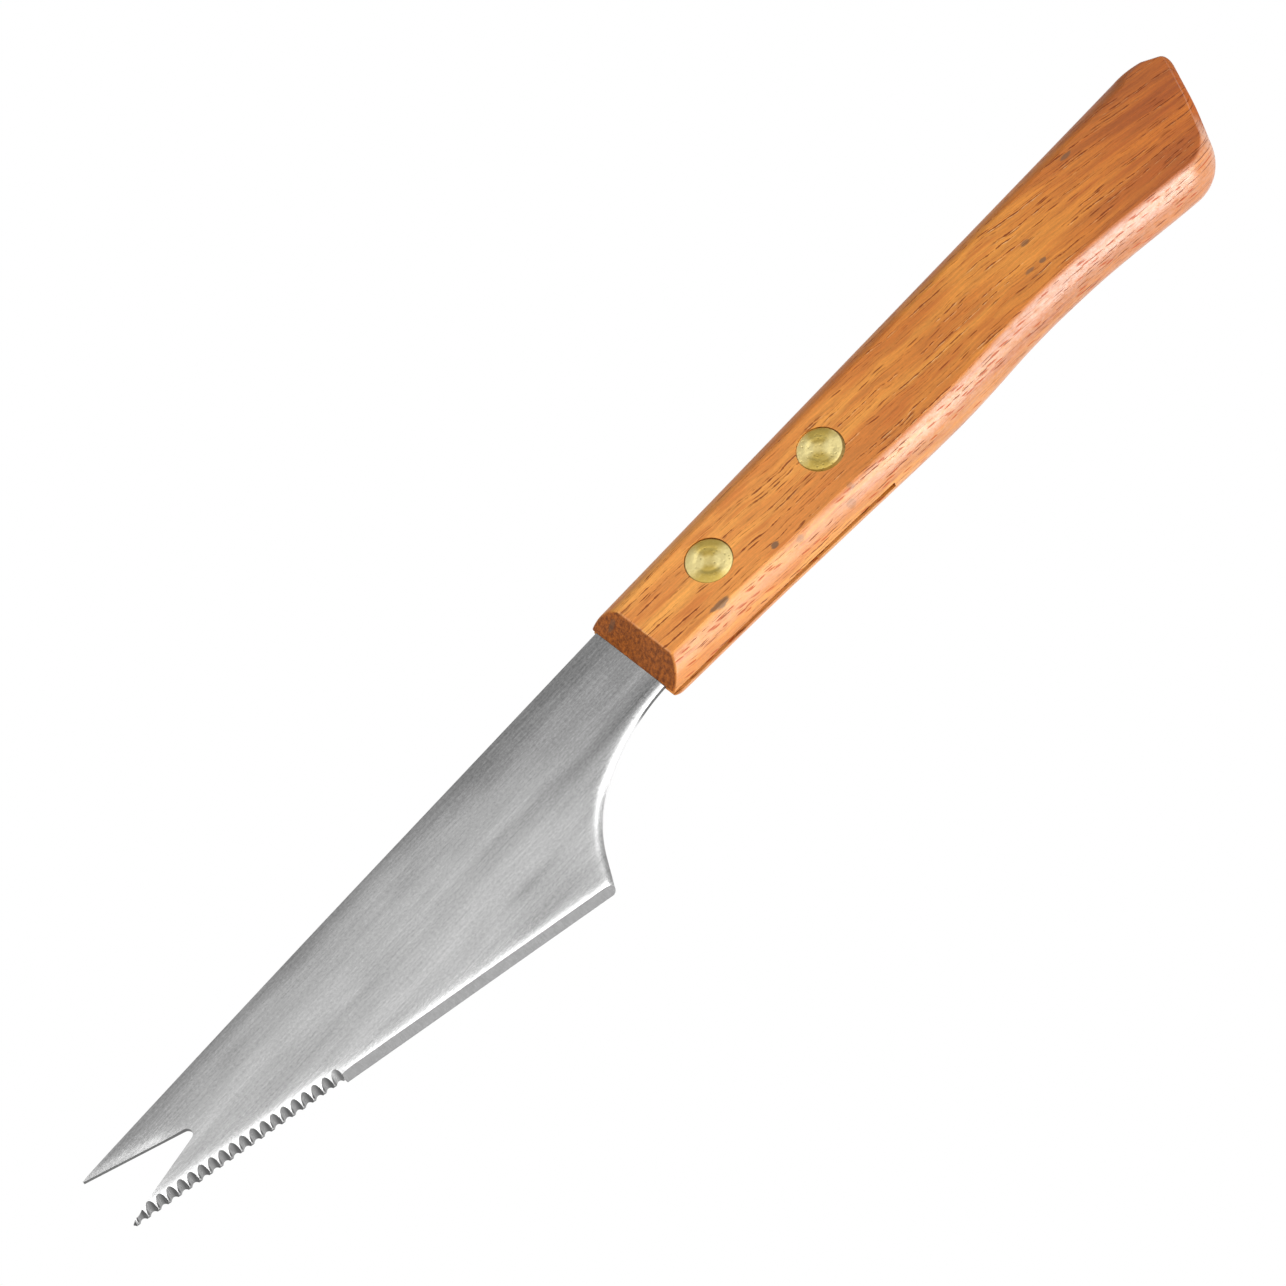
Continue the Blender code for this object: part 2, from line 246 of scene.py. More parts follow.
def geometry_tree(name, **inputs):
    """A tree with a geometry input, the named inputs and a material input."""
    tree = bpy.data.node_groups.new(name, "GeometryNodeTree")

    def socket(label, kind, way="INPUT"):
        return tree.interface.new_socket(label, in_out=way, socket_type="NodeSocket" + kind)

    socket("Geometry", "Geometry")
    for label, value in inputs.items():
        socket(label, KINDS[type(value)]).default_value = value
    socket("Material", "Material")
    socket("Geometry", "Geometry", "OUTPUT")
    graph = Graph(tree)
    start = graph.add("NodeGroupInput")
    return graph, {item.name: start.out(item.name) for item in start.socket.node.outputs if item.name}


def finish_tree(graph, shape, material):
    """Every tree ends in real geometry with its material."""
    real = graph.add("GeometryNodeRealizeInstances", {"Geometry": shape})
    dressed = graph.add("GeometryNodeSetMaterial", {"Geometry": real, "Material": material})
    graph.add("NodeGroupOutput", {"Geometry": dressed})
    return graph.tree


def add_object(name, data):
    obj = bpy.data.objects.new(name, data)
    bpy.context.scene.collection.objects.link(obj)
    return obj


def settle(obj):
    """Swap an object's modifiers for the plain mesh that they make."""
    bpy.context.view_layer.update()
    depsgraph = bpy.context.evaluated_depsgraph_get()
    mesh = bpy.data.meshes.new_from_object(obj.evaluated_get(depsgraph))
    obj.modifiers.clear()
    obj.data = mesh
    mesh.name = obj.name
    return obj


def run_tree(obj, tree, **values):
    """Run a tree on an object's mesh with these inputs."""
    modifier = obj.modifiers.new(tree.name, "NODES")
    modifier.node_group = tree
    for item in tree.interface.items_tree:
        if item.in_out == "INPUT" and item.name in values:
            modifier[item.identifier] = values[item.name]
    return settle(obj)


def cut(target, cutter):
    """Subtract a cutter, whose material goes to the faces that it leaves."""
    modifier = target.modifiers.new("cut_" + cutter.name, "BOOLEAN")
    modifier.operation = "DIFFERENCE"
    modifier.solver = "EXACT"
    modifier.material_mode = "TRANSFER"
    modifier.object = cutter
    settle(target)
    bpy.data.objects.remove(cutter)


def mesh_from(name, vertices, faces, material=None, edges=()):
    mesh = bpy.data.meshes.new(name)
    mesh.from_pydata([tuple(v) for v in vertices], edges, faces)
    if material is not None:
        mesh.materials.append(material)
    return mesh


def face_outwards(mesh):
    """Turn all normals outwards, and count the edges that don't join two faces."""
    bm = bmesh.new()
    bm.from_mesh(mesh)
    bmesh.ops.recalc_face_normals(bm, faces=bm.faces)
    bm.to_mesh(mesh)
    open_edges = sum(not e.is_manifold for e in bm.edges)
    bm.free()
    return open_edges


def prism(name, near, far, material):
    """A closed bar between two outlines of the knife's frame, with as many points each."""
    count = len(near)
    faces = [tuple(range(count)), tuple(range(count, 2 * count))]
    faces += [(i, (i + 1) % count, count + (i + 1) % count, count + i) for i in range(count)]
    mesh = mesh_from(name, [Vector(p) + KNIFE for p in near + far], faces, material)
    face_outwards(mesh)
    return add_object(name, mesh)


print("tree helpers ready")

# %% [markdown]
# ## Steel
# The sheet is brushed along its length, so its colour and gloss run in fine streaks: noise that is stretched along X.
# Soft lighter and darker bands are painted into the tone, as painted reflections of a faintly wavy rolled sheet. The
# tone is also painted lighter away from the spine and the handle, with a darker band and patch of painted shade. The
# broad faces are brushed, the ground bevel and scallops carry marks across the edge, and the cut faces are torn and
# dull, with a painted highlight along the neck. Places in a material are in millimetres of the knife's own frame.

# %% Steel materials


def new_material(name):
    """The place on the knife in millimetres, in the graph of a new material."""
    graph = empty_graph(bpy.data.materials.new(name))
    place = graph.vector("SUBTRACT", graph.add("ShaderNodeTexCoord").out("Object"), tuple(KNIFE))
    return place.scaled(1 / MM)


def finish_material(colour, roughness, normal, **constants):
    graph = normal.graph
    sockets = {"Base Color": colour, "Roughness": roughness, "Normal": normal}
    sockets |= {name.replace("_", " "): value for name, value in constants.items()}
    graph.add("ShaderNodeOutputMaterial", {"Surface": graph.add("ShaderNodeBsdfPrincipled", sockets)})
    return graph.owner


def brushed_steel():
    mm = new_material("brushed_steel")
    x, y, z = mm.split()
    y = y + 0.8 * mm.noise((0.05, 0.30, 0.0), detail=1.0)
    lengthwise = join(x, y, z)
    streaks = lengthwise.noise((0.11, 3.6, 0.0), detail=5.0, roughness=0.72)
    bands = lengthwise.noise((0.016, 0.30, 0.0), (3.1, 0.0, 0.0))
    clouds = lengthwise.noise((0.09, 0.22, 0.0), (7.7, 2.0, 0.0))
    grit = mm.noise((2.0, 3.2, 0.0), detail=4.0, roughness=0.75)
    # Painted light: the tone lightens away from the spine and the handle; a band and a patch get painted shade.
    painted_light_towards_edge = 1 - y.ramp(-0.5, 7.4)
    painted_light_towards_tip = 1 - (x + 3.0 * (y + 4.0).least(0.0)).ramp(-48.0, -2.0)
    painted_dark_band = 1 - abs(y + 4.3).ramp(0.0, 2.9)
    shallow = 1 - (((x + 33.0) / 9.0) ** 2 + ((y + 13.5) / 3.5) ** 2).ramp(0.0, 1.3)
    tone = 0.43 + 0.13 * painted_light_towards_tip + painted_light_towards_edge * (0.10 + 0.19 * painted_light_towards_tip)
    tone = tone - 0.10 * painted_dark_band - 0.11 * shallow + 0.46 * (streaks - 0.5)
    # Painted reflection: the soft bands stand in for a faintly wavy sheet mirroring the room.
    tone = tone + 0.44 * (bands - 0.5) + 0.25 * (clouds - 0.5) + 0.62 * (grit - 0.5)
    gloss = 0.24 + 0.06 * (streaks - 0.5) + 0.04 * (grit - 0.5)
    return finish_material(tone.least(1.0), gloss, streaks.bump(0.05, 0.02), Metallic=1.0)


def ground_steel():
    mm = new_material("ground_steel")
    marks = mm.noise((4.5, 0.8, 0.8), detail=3.0, roughness=0.7)
    mottle = mm.noise((1.1, 1.1, 1.1), detail=3.0)
    plain = mm.split()[0].ramp(-70.2, -69.4)
    tone = 0.44 + 0.18 * plain + 0.16 * (marks - 0.5) + 0.16 * (mottle - 0.5)
    gloss = 0.20 + 0.04 * plain + 0.08 * (marks - 0.5)
    return finish_material(tone, gloss, marks.bump(0.10, 0.02), Metallic=1.0)


def torn_steel():
    """Dark and torn, with a painted highlight along the neck that stops short of the handle."""
    mm = new_material("torn_steel")
    tears = mm.noise((2.5, 2.5, 0.7), detail=4.0, roughness=0.7)
    x, y, _ = mm.split()
    # Painted highlight: the cut face along the neck is lighter, stopping short of the handle.
    painted_neck_highlight = (1 - x.ramp(-7.5, -4.5)) * x.ramp(-60.0, -40.0) * (1 - y.ramp(-2.0, 2.0))
    tone = 0.18 + 0.14 * (tears - 0.5) + 0.72 * painted_neck_highlight
    return finish_material(tone, 0.55 + 0.2 * (tears - 0.5), tears.bump(0.4, 0.05), Metallic=1.0)


STEEL_FACE = brushed_steel()
STEEL_GROUND = ground_steel()
STEEL_CUT = torn_steel()
print("steels:", STEEL_FACE.name, STEEL_GROUND.name, STEEL_CUT.name)

# %% [markdown]
# ## The blade's outline
# A press stamped the outline: a straight spine that falls a little towards the tip, a fork with a round root, a
# straight edge that rises to the tip, and a neck of two arcs. We draw it once round with the maker's measures, and
# keep the parts whose rims the press rolled over.

# %% Blade outline
SPINE_Y = 0.00720
SPINE_DROP = 0.00046
SPINE_DROP_RUN = 0.0618
SPINE_STEPS = 24
TANG_REACH = blade_high.x - KNIFE.x
TANG_EDGE_Y = -0.00562
TANG_CORNER_RADIUS = 0.0015
NECK_START_X = 0.00065
NECK_FRONT_RADIUS = 0.0350
NECK_JOIN_SLOPE = radians(27.4)
NECK_REAR_RADIUS = 0.0213
NECK_END_SLOPE = radians(57.0)
HEEL_RADIUS = 0.0009
EDGE_ANGLE = radians(13.0)
EDGE_TIP_Y = -0.00377
TOOTH_SETBACK = 0.00051
SERRATION_REACH = 0.0689
FORK_DEPTH = 0.0145
FORK_ROOT_Y = 0.00025
FORK_ROOT_RADIUS = 0.0009
UPPER_TINE_LAND = 0.00014
LOWER_TINE_LAND = 0.00045
EDGE_DIRECTION = unit(-EDGE_ANGLE)
EDGE_INWARD = Vector((-EDGE_DIRECTION.y, EDGE_DIRECTION.x))
LINE_SPACING = 0.002
ROLL_SPACING = 0.00035


def edge_point(x, inset=0.0):
    """Point of the edge line, or of a line inside it."""
    tip = Vector((-BLADE_REACH, EDGE_TIP_Y)) + EDGE_INWARD * inset
    return tip + EDGE_DIRECTION * (x - tip.x) / EDGE_DIRECTION.x


def spine_points():
    """The spine from the tang's end to the fork."""
    shares = [i / SPINE_STEPS for i in range(SPINE_STEPS + 1)]
    fall = [(SPINE_DROP_RUN * (1 - s) - BLADE_REACH, SPINE_Y - SPINE_DROP * s**2) for s in shares]
    return [Vector(p) for p in ((TANG_REACH, SPINE_Y), *fall)]


def fork_points():
    """The notch, from the upper tip round its root to the lower tip."""
    upper = Vector((-BLADE_REACH, SPINE_Y - SPINE_DROP - UPPER_TINE_LAND))
    lower = edge_point(-BLADE_REACH, TOOTH_SETBACK) + Vector((0.0, LOWER_TINE_LAND))
    root = Vector((FORK_DEPTH - FORK_ROOT_RADIUS - BLADE_REACH, FORK_ROOT_Y))
    start = tangent_angle(upper, root, FORK_ROOT_RADIUS, -1)
    end = tangent_angle(lower, root, FORK_ROOT_RADIUS, 1)
    turn = (end - start) % (2 * pi) - 2 * pi
    return [upper] + arc(root, FORK_ROOT_RADIUS, start, start + turn) + [lower]


def neck_points():
    """The neck, from the heel up to the tang's lower edge."""
    front = Vector((NECK_START_X, TANG_EDGE_Y - NECK_FRONT_RADIUS))
    join = pi / 2 + NECK_JOIN_SLOPE
    rear = front + unit(join) * (NECK_FRONT_RADIUS - NECK_REAR_RADIUS)
    arcs = arc(front, NECK_FRONT_RADIUS, pi / 2, join)
    arcs += arc(rear, NECK_REAR_RADIUS, join, pi / 2 + NECK_END_SLOPE)[1:]
    run = -unit(NECK_END_SLOPE)
    height = (arcs[-1] - edge_point(0.0)).dot(EDGE_INWARD)
    heel = arcs[-1] - run * height / run.dot(EDGE_INWARD)
    return fillet(edge_point(-BLADE_REACH), heel, arcs[-1], HEEL_RADIUS) + arcs[::-1]


spine_line = subdivide(spine_points(), LINE_SPACING)
fork_line = subdivide(fork_points(), ROLL_SPACING)
neck_line = subdivide(neck_points(), ROLL_SPACING)
teeth_ends = [edge_point(x, TOOTH_SETBACK) for x in (-BLADE_REACH, -SERRATION_REACH)]
teeth_line = subdivide(teeth_ends, LINE_SPACING)
plain_line = subdivide([edge_point(-SERRATION_REACH), neck_line[0]], LINE_SPACING)
tang_low = Vector((TANG_REACH, TANG_EDGE_Y))
tang_line = fillet(neck_line[-1], tang_low, spine_line[0], TANG_CORNER_RADIUS)
tang_line += fillet(tang_low, spine_line[0], spine_line[1], TANG_CORNER_RADIUS)
blade_outline = spine_line[1:] + fork_line + teeth_line + plain_line[:-1] + neck_line + tang_line
print("blade outline:", len(blade_outline), "points")

# %% [markdown]
# ## The rolled rim
# When a press shears a sheet, one face is drawn down along the cut. This rim catches the light as a bright line along
# the neck, the fork and the edge, so it has to be real geometry. Each point of the upper face sinks by a power of its
# distance to the cut. To give that curve points to bend at, we lay rows of points inside the outline and let a
# constrained Delaunay triangulation join them.

# %% Blade sheet with its rolled rim
# Reach and drop of each roll
EDGE_ROLL = (0.0035, 0.00040)
TOOTH_ROLL = (0.0047, 0.00070)
NECK_ROLL = (0.0022, 0.00016)
NOTCH_ROLL = (0.0027, 0.00021)
NOTCH_DRAW = (0.0040, 0.00012)
SPINE_ROLL = (0.0022, 0.00007)
EDGE_BLEND = 0.002
HEEL_DROP = 0.00030
HEEL_TO_NECK = (-0.021, -0.009)
NOTCH_FADE_RUN = 0.0035
CROWDED = 0.9
FILL_TOLERANCE = 1e-5


def to_segments(points, line):
    """Distance from each point to a polyline."""
    line = np.array(line)
    along = line[1:] - line[:-1]
    offset = points[:, None, :] - line[None, :-1, :]
    share = (offset * along).sum(2) / np.maximum((along**2).sum(1), 1e-18)
    foot = line[:-1] + np.clip(share, 0, 1)[..., None] * along
    return np.linalg.norm(points[:, None, :] - foot, axis=2).min(1)


def sink(distance, reach, drop, power=2):
    return drop * np.clip(1 - distance / reach, 0, 1) ** power


def eased(x, low, high):
    """0 below low, 1 above high, smooth in between."""
    share = np.clip((x - low) / (high - low), 0, 1)
    return share * share * (3 - 2 * share)


def edge_sink(x, inset):
    """The edge's rim is rolled deeper and wider where the scallops are."""
    share = eased(x, -SERRATION_REACH - EDGE_BLEND, -SERRATION_REACH + EDGE_BLEND)
    reach, drop = (tooth + (plain - tooth) * share for tooth, plain in zip(TOOTH_ROLL, EDGE_ROLL))
    return sink(np.maximum(inset, 0), reach, drop, 3)


def roll_depth(points):
    """How far the upper face lies below the sheet's own plane."""
    x = points[:, 0]
    inset = (points - np.array(edge_point(0.0))) @ np.array(EDGE_INWARD)
    outer_neck = [p for p in neck_line if p.x < NECK_START_X] + [neck_line[-1], Vector((0.004, TANG_EDGE_Y))]
    reach, drop = NECK_ROLL
    drop = HEEL_DROP + (drop - HEEL_DROP) * eased(x, *HEEL_TO_NECK)
    upper_notch = to_segments(points, fork_line[: len(fork_line) // 2])
    root_x = FORK_DEPTH - BLADE_REACH
    towards_root = eased(x, root_x - NOTCH_FADE_RUN, root_x)
    rims = [
        edge_sink(x, inset),
        sink(to_segments(points, outer_neck), reach, drop, 3),
        sink(upper_notch, *NOTCH_ROLL, 3) * (1 - 0.9 * towards_root),
        sink(upper_notch, *NOTCH_DRAW) * (1 - 0.8 * towards_root),
        sink(to_segments(points, spine_line), *SPINE_ROLL),
    ]
    return np.sqrt(sum(r**2 for r in rims))


def inner_rows(line, reach, spacing, count):
    """Rows of points inside the outline, along one of its lines."""
    dense = subdivide(line, spacing)
    rows = []
    for k in range(1, count + 2):
        offset = reach * k / count
        for before, here, after in zip(dense, dense[1:], dense[2:]):
            rows.append(here + (after - before).normalized().orthogonal() * offset)
    rows = np.array(rows)
    return rows[to_segments(rows, blade_outline + blade_outline[:1]) > CROWDED * reach / count]


def inside(points, outline):
    """Which points lie inside a closed outline, by counting crossings."""
    result = np.zeros(len(points), bool)
    for a, b in zip(outline, outline[1:] + outline[:1]):
        crosses = (a.y > points[:, 1]) != (b.y > points[:, 1])
        if a.y != b.y:
            x = a.x + (points[:, 1] - a.y) * (b.x - a.x) / (b.y - a.y)
            result ^= crosses & (points[:, 0] < x)
    return result


edge_line = [edge_point(-BLADE_REACH), neck_line[0]]
row_sets = [
    (edge_line, TOOTH_ROLL, 0.0006, 15),
    (neck_line, NECK_ROLL, ROLL_SPACING, 12),
    (fork_line, NOTCH_ROLL, ROLL_SPACING, 12),
    (fork_line, NOTCH_DRAW, 2 * ROLL_SPACING, 8),
    (spine_line, SPINE_ROLL, LINE_SPACING, 8),
]
inner = np.concatenate([inner_rows(line, roll[0], *rest) for line, roll, *rest in row_sets])
inner = inner[inside(inner, blade_outline)]


def fill(outline, extra):
    """Triangles that fill an outline through extra points, and the outline's places among their points."""
    points = [Vector(p) / MM for p in [*outline, *extra]]
    loop = list(range(len(outline)))
    edges = [(i, (i + 1) % len(outline)) for i in loop]
    vertices, _, faces, origins, _, _ = delaunay_2d_cdt(points, edges, [loop], 1, FILL_TOLERANCE)
    place = {source: i for i, sources in enumerate(origins) for source in sources}
    return [v * MM for v in vertices], faces, [place[i] for i in loop]


def blade_sheet():
    top, faces, top_rim = fill(blade_outline, inner)
    base, base_faces, base_rim = fill(blade_outline, [])
    vertices = [Vector((*p, HALF_BLADE - d)) for p, d in zip(top, roll_depth(np.array(top)))]
    vertices += [Vector((*p, -HALF_BLADE)) for p in base]
    faces += [[i + len(top) for i in face] for face in base_faces]
    rim = [(i, j + len(top)) for i, j in zip(top_rim, base_rim)]
    for (a, b), (c, d) in zip(rim, rim[1:] + rim[:1]):
        faces.append((a, c, d, b))
    mesh = mesh_from("blade_dressed", [v + KNIFE for v in vertices], faces, STEEL_FACE)
    open_edges = face_outwards(mesh)
    print("blade sheet:", len(mesh.polygons), "faces,", open_edges, "open edges")
    return add_object("blade_dressed", mesh)


blade = blade_sheet()

# %% [markdown]
# ## The ground edge
# A grinder took the bevel off the upper face in one flat pass, and a thin round wheel sank the scallops across the
# front part of the edge. A row of alike cuts is what Geometry Nodes are for: a line of points, one pitch apart, each
# with the same tilted bar. Neighbouring scallops overlap, so the odd and the even ones are cut in two passes.

# %% Scallop tree
FLUTE_COUNT = 21
FLUTE_PITCH = 0.001667
FLUTE_RADIUS = 0.00088
FLUTE_REACH = 0.00175
FLUTE_NOTCH = 0.00038
FLUTE_PHASE = 0.44
FLUTE_SLANT = radians(6.0)
FLUTE = {"Radius": FLUTE_RADIUS, "Segments": 64}
ORIGIN = (0.0, 0.0, 0.0)


def scallop_tree():
    sizes = {"Count": 1, "Start": ORIGIN, "Step": ORIGIN, "Turn": ORIGIN}
    graph, given = geometry_tree("scallop_row", **sizes, **FLUTE, Length=FLUTE_REACH)
    _, count, start, step, turn, radius, segments, length, material = given.values()
    places = {"Count": count, "Start Location": start, "Offset": step}
    line = graph.add("GeometryNodeMeshLine", places, mode="OFFSET")
    bar = graph.add("GeometryNodeMeshCylinder", {"Vertices": segments, "Radius": radius, "Depth": length})
    tilt = graph.add("FunctionNodeEulerToRotation", {0: turn})
    row = graph.add("GeometryNodeInstanceOnPoints", {"Points": line, "Instance": bar, "Rotation": tilt})
    return finish_tree(graph, row, material)


SCALLOPS = scallop_tree()


def face_height(inset, roll):
    """Height of the rolled upper face at a distance inside the edge line."""
    reach, drop = roll
    return HALF_BLADE - drop * max(0.0, 1 - inset / reach) ** 3


def scallop_cutter(name, first):
    """Every second scallop's bar, tilted so that the notch cuts the back face."""
    rise = face_height(FLUTE_REACH + TOOTH_SETBACK, TOOTH_ROLL) + HALF_BLADE
    slope = atan2(rise, FLUTE_REACH - FLUTE_NOTCH)
    middle = Vector((FLUTE_NOTCH, -HALF_BLADE)) + unit(slope).orthogonal() * FLUTE_RADIUS
    inward = EDGE_INWARD * cos(FLUTE_SLANT) + EDGE_DIRECTION * sin(FLUTE_SLANT)
    axis = Vector((*(inward * cos(slope)), sin(slope)))
    step = Vector((*(EDGE_DIRECTION * FLUTE_PITCH), 0.0))
    corner = edge_point(-SERRATION_REACH, TOOTH_SETBACK) + EDGE_INWARD * middle.x
    start = Vector((*corner, middle.y)) - step * (first + FLUTE_PHASE) + KNIFE
    return run_tree(
        add_object(name, bpy.data.meshes.new(name)),
        SCALLOPS,
        Count=(FLUTE_COUNT - first + 1) // 2,
        Start=tuple(start),
        Step=tuple(-2 * step),
        Turn=tuple(axis.to_track_quat("Z", "Y").to_euler()),
        Length=2 * FLUTE_REACH / cos(slope) + 4 * FLUTE_RADIUS,
        Material=STEEL_GROUND,
        **FLUTE,
    )


# %% Grind the bevel and the scallops
BEVEL_WIDTH = 0.0013
EDGE_LAND = 0.00008
OVERRUN = 0.001


def bevel_cutter():
    """A long prism whose slanted side grinds the plain edge to the back face."""
    rise = Vector((BEVEL_WIDTH, face_height(BEVEL_WIDTH, EDGE_ROLL) + HALF_BLADE - EDGE_LAND))
    edge = Vector((0.0, EDGE_LAND - HALF_BLADE))
    low, high = edge - rise, edge + 3 * rise
    ends = (edge_point(-SERRATION_REACH - FLUTE_PITCH / 2), edge_point(0.0) + EDGE_DIRECTION * OVERRUN)
    section = (low, high, Vector((low.x, high.y)))
    near, far = ([(*(end + EDGE_INWARD * s.x), s.y) for s in section] for end in ends)
    return prism("bevel_cutter", near, far, STEEL_GROUND)


cut(blade, bevel_cutter())
cut(blade, scallop_cutter("odd_scallops", 0))
cut(blade, scallop_cutter("even_scallops", 1))
print("blade after grinding:", len(blade.data.polygons), "faces", [m.name for m in blade.data.materials])

# %% [markdown]
# ## Finishing the blade's surfaces
# Every upright face that the grinder didn't touch gets the torn steel. A crease stays where two finishes meet or where
# the surface turns sharply. Weighted normals keep the broad flats truly flat, which matters on metal: a normal that
# leans by half a degree already shows.

# %% Finishes and creases
CREASE = radians(32)
UPRIGHT = 0.3


def crease(obj, angle=CREASE):
    """Sharp edges where the surface turns or its finish changes, smooth elsewhere."""
    mesh = obj.data
    bm = bmesh.new()
    bm.from_mesh(mesh)
    for face in bm.faces:
        face.smooth = True
    for edge in bm.edges:
        if len(edge.link_faces) == 2:
            a, b = edge.link_faces
            edge.smooth = a.material_index == b.material_index and edge.calc_face_angle(0.0) < angle
    bm.to_mesh(mesh)
    bm.free()
    modifier = obj.modifiers.new("weighted_normals", "WEIGHTED_NORMAL")
    modifier.keep_sharp = True
    return settle(obj)


blade.data.materials.append(STEEL_CUT)
cut_index, ground_index = (blade.data.materials.find(m.name) for m in (STEEL_CUT, STEEL_GROUND))
for face in blade.data.polygons:
    if face.material_index != ground_index and abs(face.normal.z) < UPRIGHT:
        face.material_index = cut_index
crease(blade)
print("blade:", len(blade.data.polygons), "faces")
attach(blade, "root")
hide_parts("blade")

# %% [markdown]
# ## Wood
# The handle is one piece of open-pored orange-brown wood under a thin varnish. Its layers are worked out in the block
# itself, so that they run on round its corners: slow bands of colour, fine fibres, long vessels that show as short
# dark or pale dashes, the pale ones partly filler and partly a painted glint, and a few grey mineral marks. The walls
# of the saw kerf are painted pale, as painted light against the shade in the narrow slot. The spine side is painted
# darker as painted shade, and the underside near the butt lighter as painted light. The sawn front drinks in varnish
# and turns dark, so the mesh carries an attribute that says where the end grain is.

# %% Wood material
# Each mark: X, Y and Z in mm, half its length and half its width in mm, strength
MINERAL_MARKS = [
    (1.4, 5.20, 2.6, 1.5, 0.45, 0.55),
    (12.3, -5.40, 4.4, 1.7, 0.55, 0.75),
    (23.5, -5.30, 4.5, 0.75, 0.45, 0.80),
    (26.5, -7.00, 3.3, 0.9, 0.60, 0.35),
    (36.6, -7.20, 3.5, 0.8, 0.60, 0.35),
    (34.9, -8.70, 3.2, 0.8, 0.60, 0.30),
    (75.5, -4.90, 4.5, 0.9, 0.35, 0.60),
    (77.9, -5.20, 4.5, 0.6, 0.40, 0.70),
    (78.3, -1.50, 4.5, 0.8, 0.40, 0.55),
    (91.8, 3.10, 4.5, 1.1, 0.35, 0.65),
    (86.2, -12.4, 3.2, 0.8, 0.60, 0.55),
    (83.5, -12.5, 3.0, 0.9, 0.60, 0.50),
    (100.4, -14.2, 3.0, 1.1, 0.60, 0.45),
]
FRONT_LIGHT, MIDDLE_LIGHT, BUTT_LIGHT = (0.890, 0.380, 0.068), (0.730, 0.272, 0.032), (0.620, 0.162, 0.008)
FRONT_DEEP, MIDDLE_DEEP, BUTT_DEEP = (0.715, 0.248, 0.040), (0.565, 0.160, 0.012), (0.370, 0.075, 0.002)
UNDERSIDE_TO_SPINE = (-3.5, 3.5)


def surface_place(mm):
    """Places along and across the grain that follow the skin, and how much a place is on a side."""
    x, y, z = mm.split()
    depth = HALF_HANDLE / MM - abs(z)
    girth = y + depth.most(0) * (2 * y.ramp(*UNDERSIDE_TO_SPINE) - 1)
    late = (x - 55).most(0)
    drift = 0.085 * x + 0.0019 * late * late * (1 + 0.06 * y)
    wave = join(0.055 * x, 0.13 * girth, 0.4).noise(detail=1.0)
    ripple = join(0.35 * x, 0.30 * girth, 5.0).noise(detail=1.0)
    across = girth + drift + 1.7 * (wave - 0.5) + 0.40 * (ripple - 0.5)
    return x + 2.3 * z, across, depth.ramp(0.02, 0.45)


def vessels(along, across, length, width, share, seed):
    """Pores cut lengthwise: long cells, of which this share holds a tapering dash."""
    cell = join(along / length + seed, across / width + seed)
    threads = cell.graph.add("ShaderNodeTexVoronoi", {"Vector": cell, "Scale": 1.0}, voronoi_dimensions="2D")
    chance = cell.graph.add("ShaderNodeSeparateColor", {0: threads.out("Color")})
    return (1 - threads.ramp(0.20, 0.50)) * chance.ramp(0.98 - share, 1.02 - share)


def pore_chains(along, across, pitch, half_width, length, seed, broken):
    """Pores in rows along the grain, here and there; broken sets the gaps."""
    rows = across / pitch + seed
    row = rows.graph.math("FLOOR", rows)
    chance = rows.graph.add("ShaderNodeTexWhiteNoise", {"W": row}, noise_dimensions="1D")
    distance = pitch * abs(rows - row - 0.5 - 0.7 * (chance - 0.5))
    there = join(along / length, 3.7 * row, seed).noise(detail=1.0).ramp(0.50, 0.58)
    beads = join(0.85 * along, 5.1 * row, broken).noise(detail=3.0)
    swell = (4.5 * (beads - 0.36 - 0.10 * broken)).most(0.02)
    return there * (1 - (distance / (half_width * swell)).ramp(0.40, 1.0))


def spots(x, y, z):
    """The few grey mineral marks, each a soft oval that leans with the grain."""
    ragged = join(0.9 * x, 2.4 * y, 0.5 * z).noise()
    total = None
    for mark_x, mark_y, mark_z, length, width, strength in MINERAL_MARKS:
        lean = y - mark_y + 0.08 * (x - mark_x)
        distance = ((x - mark_x) / length) ** 2 + (lean / width) ** 2 + ((z - mark_z) / 1.2) ** 2
        spot = strength * (1 - (distance + 1.6 * (ragged - 0.5)).ramp(0.40, 1.20))
        total = spot if total is None else total.most(spot)
    return total


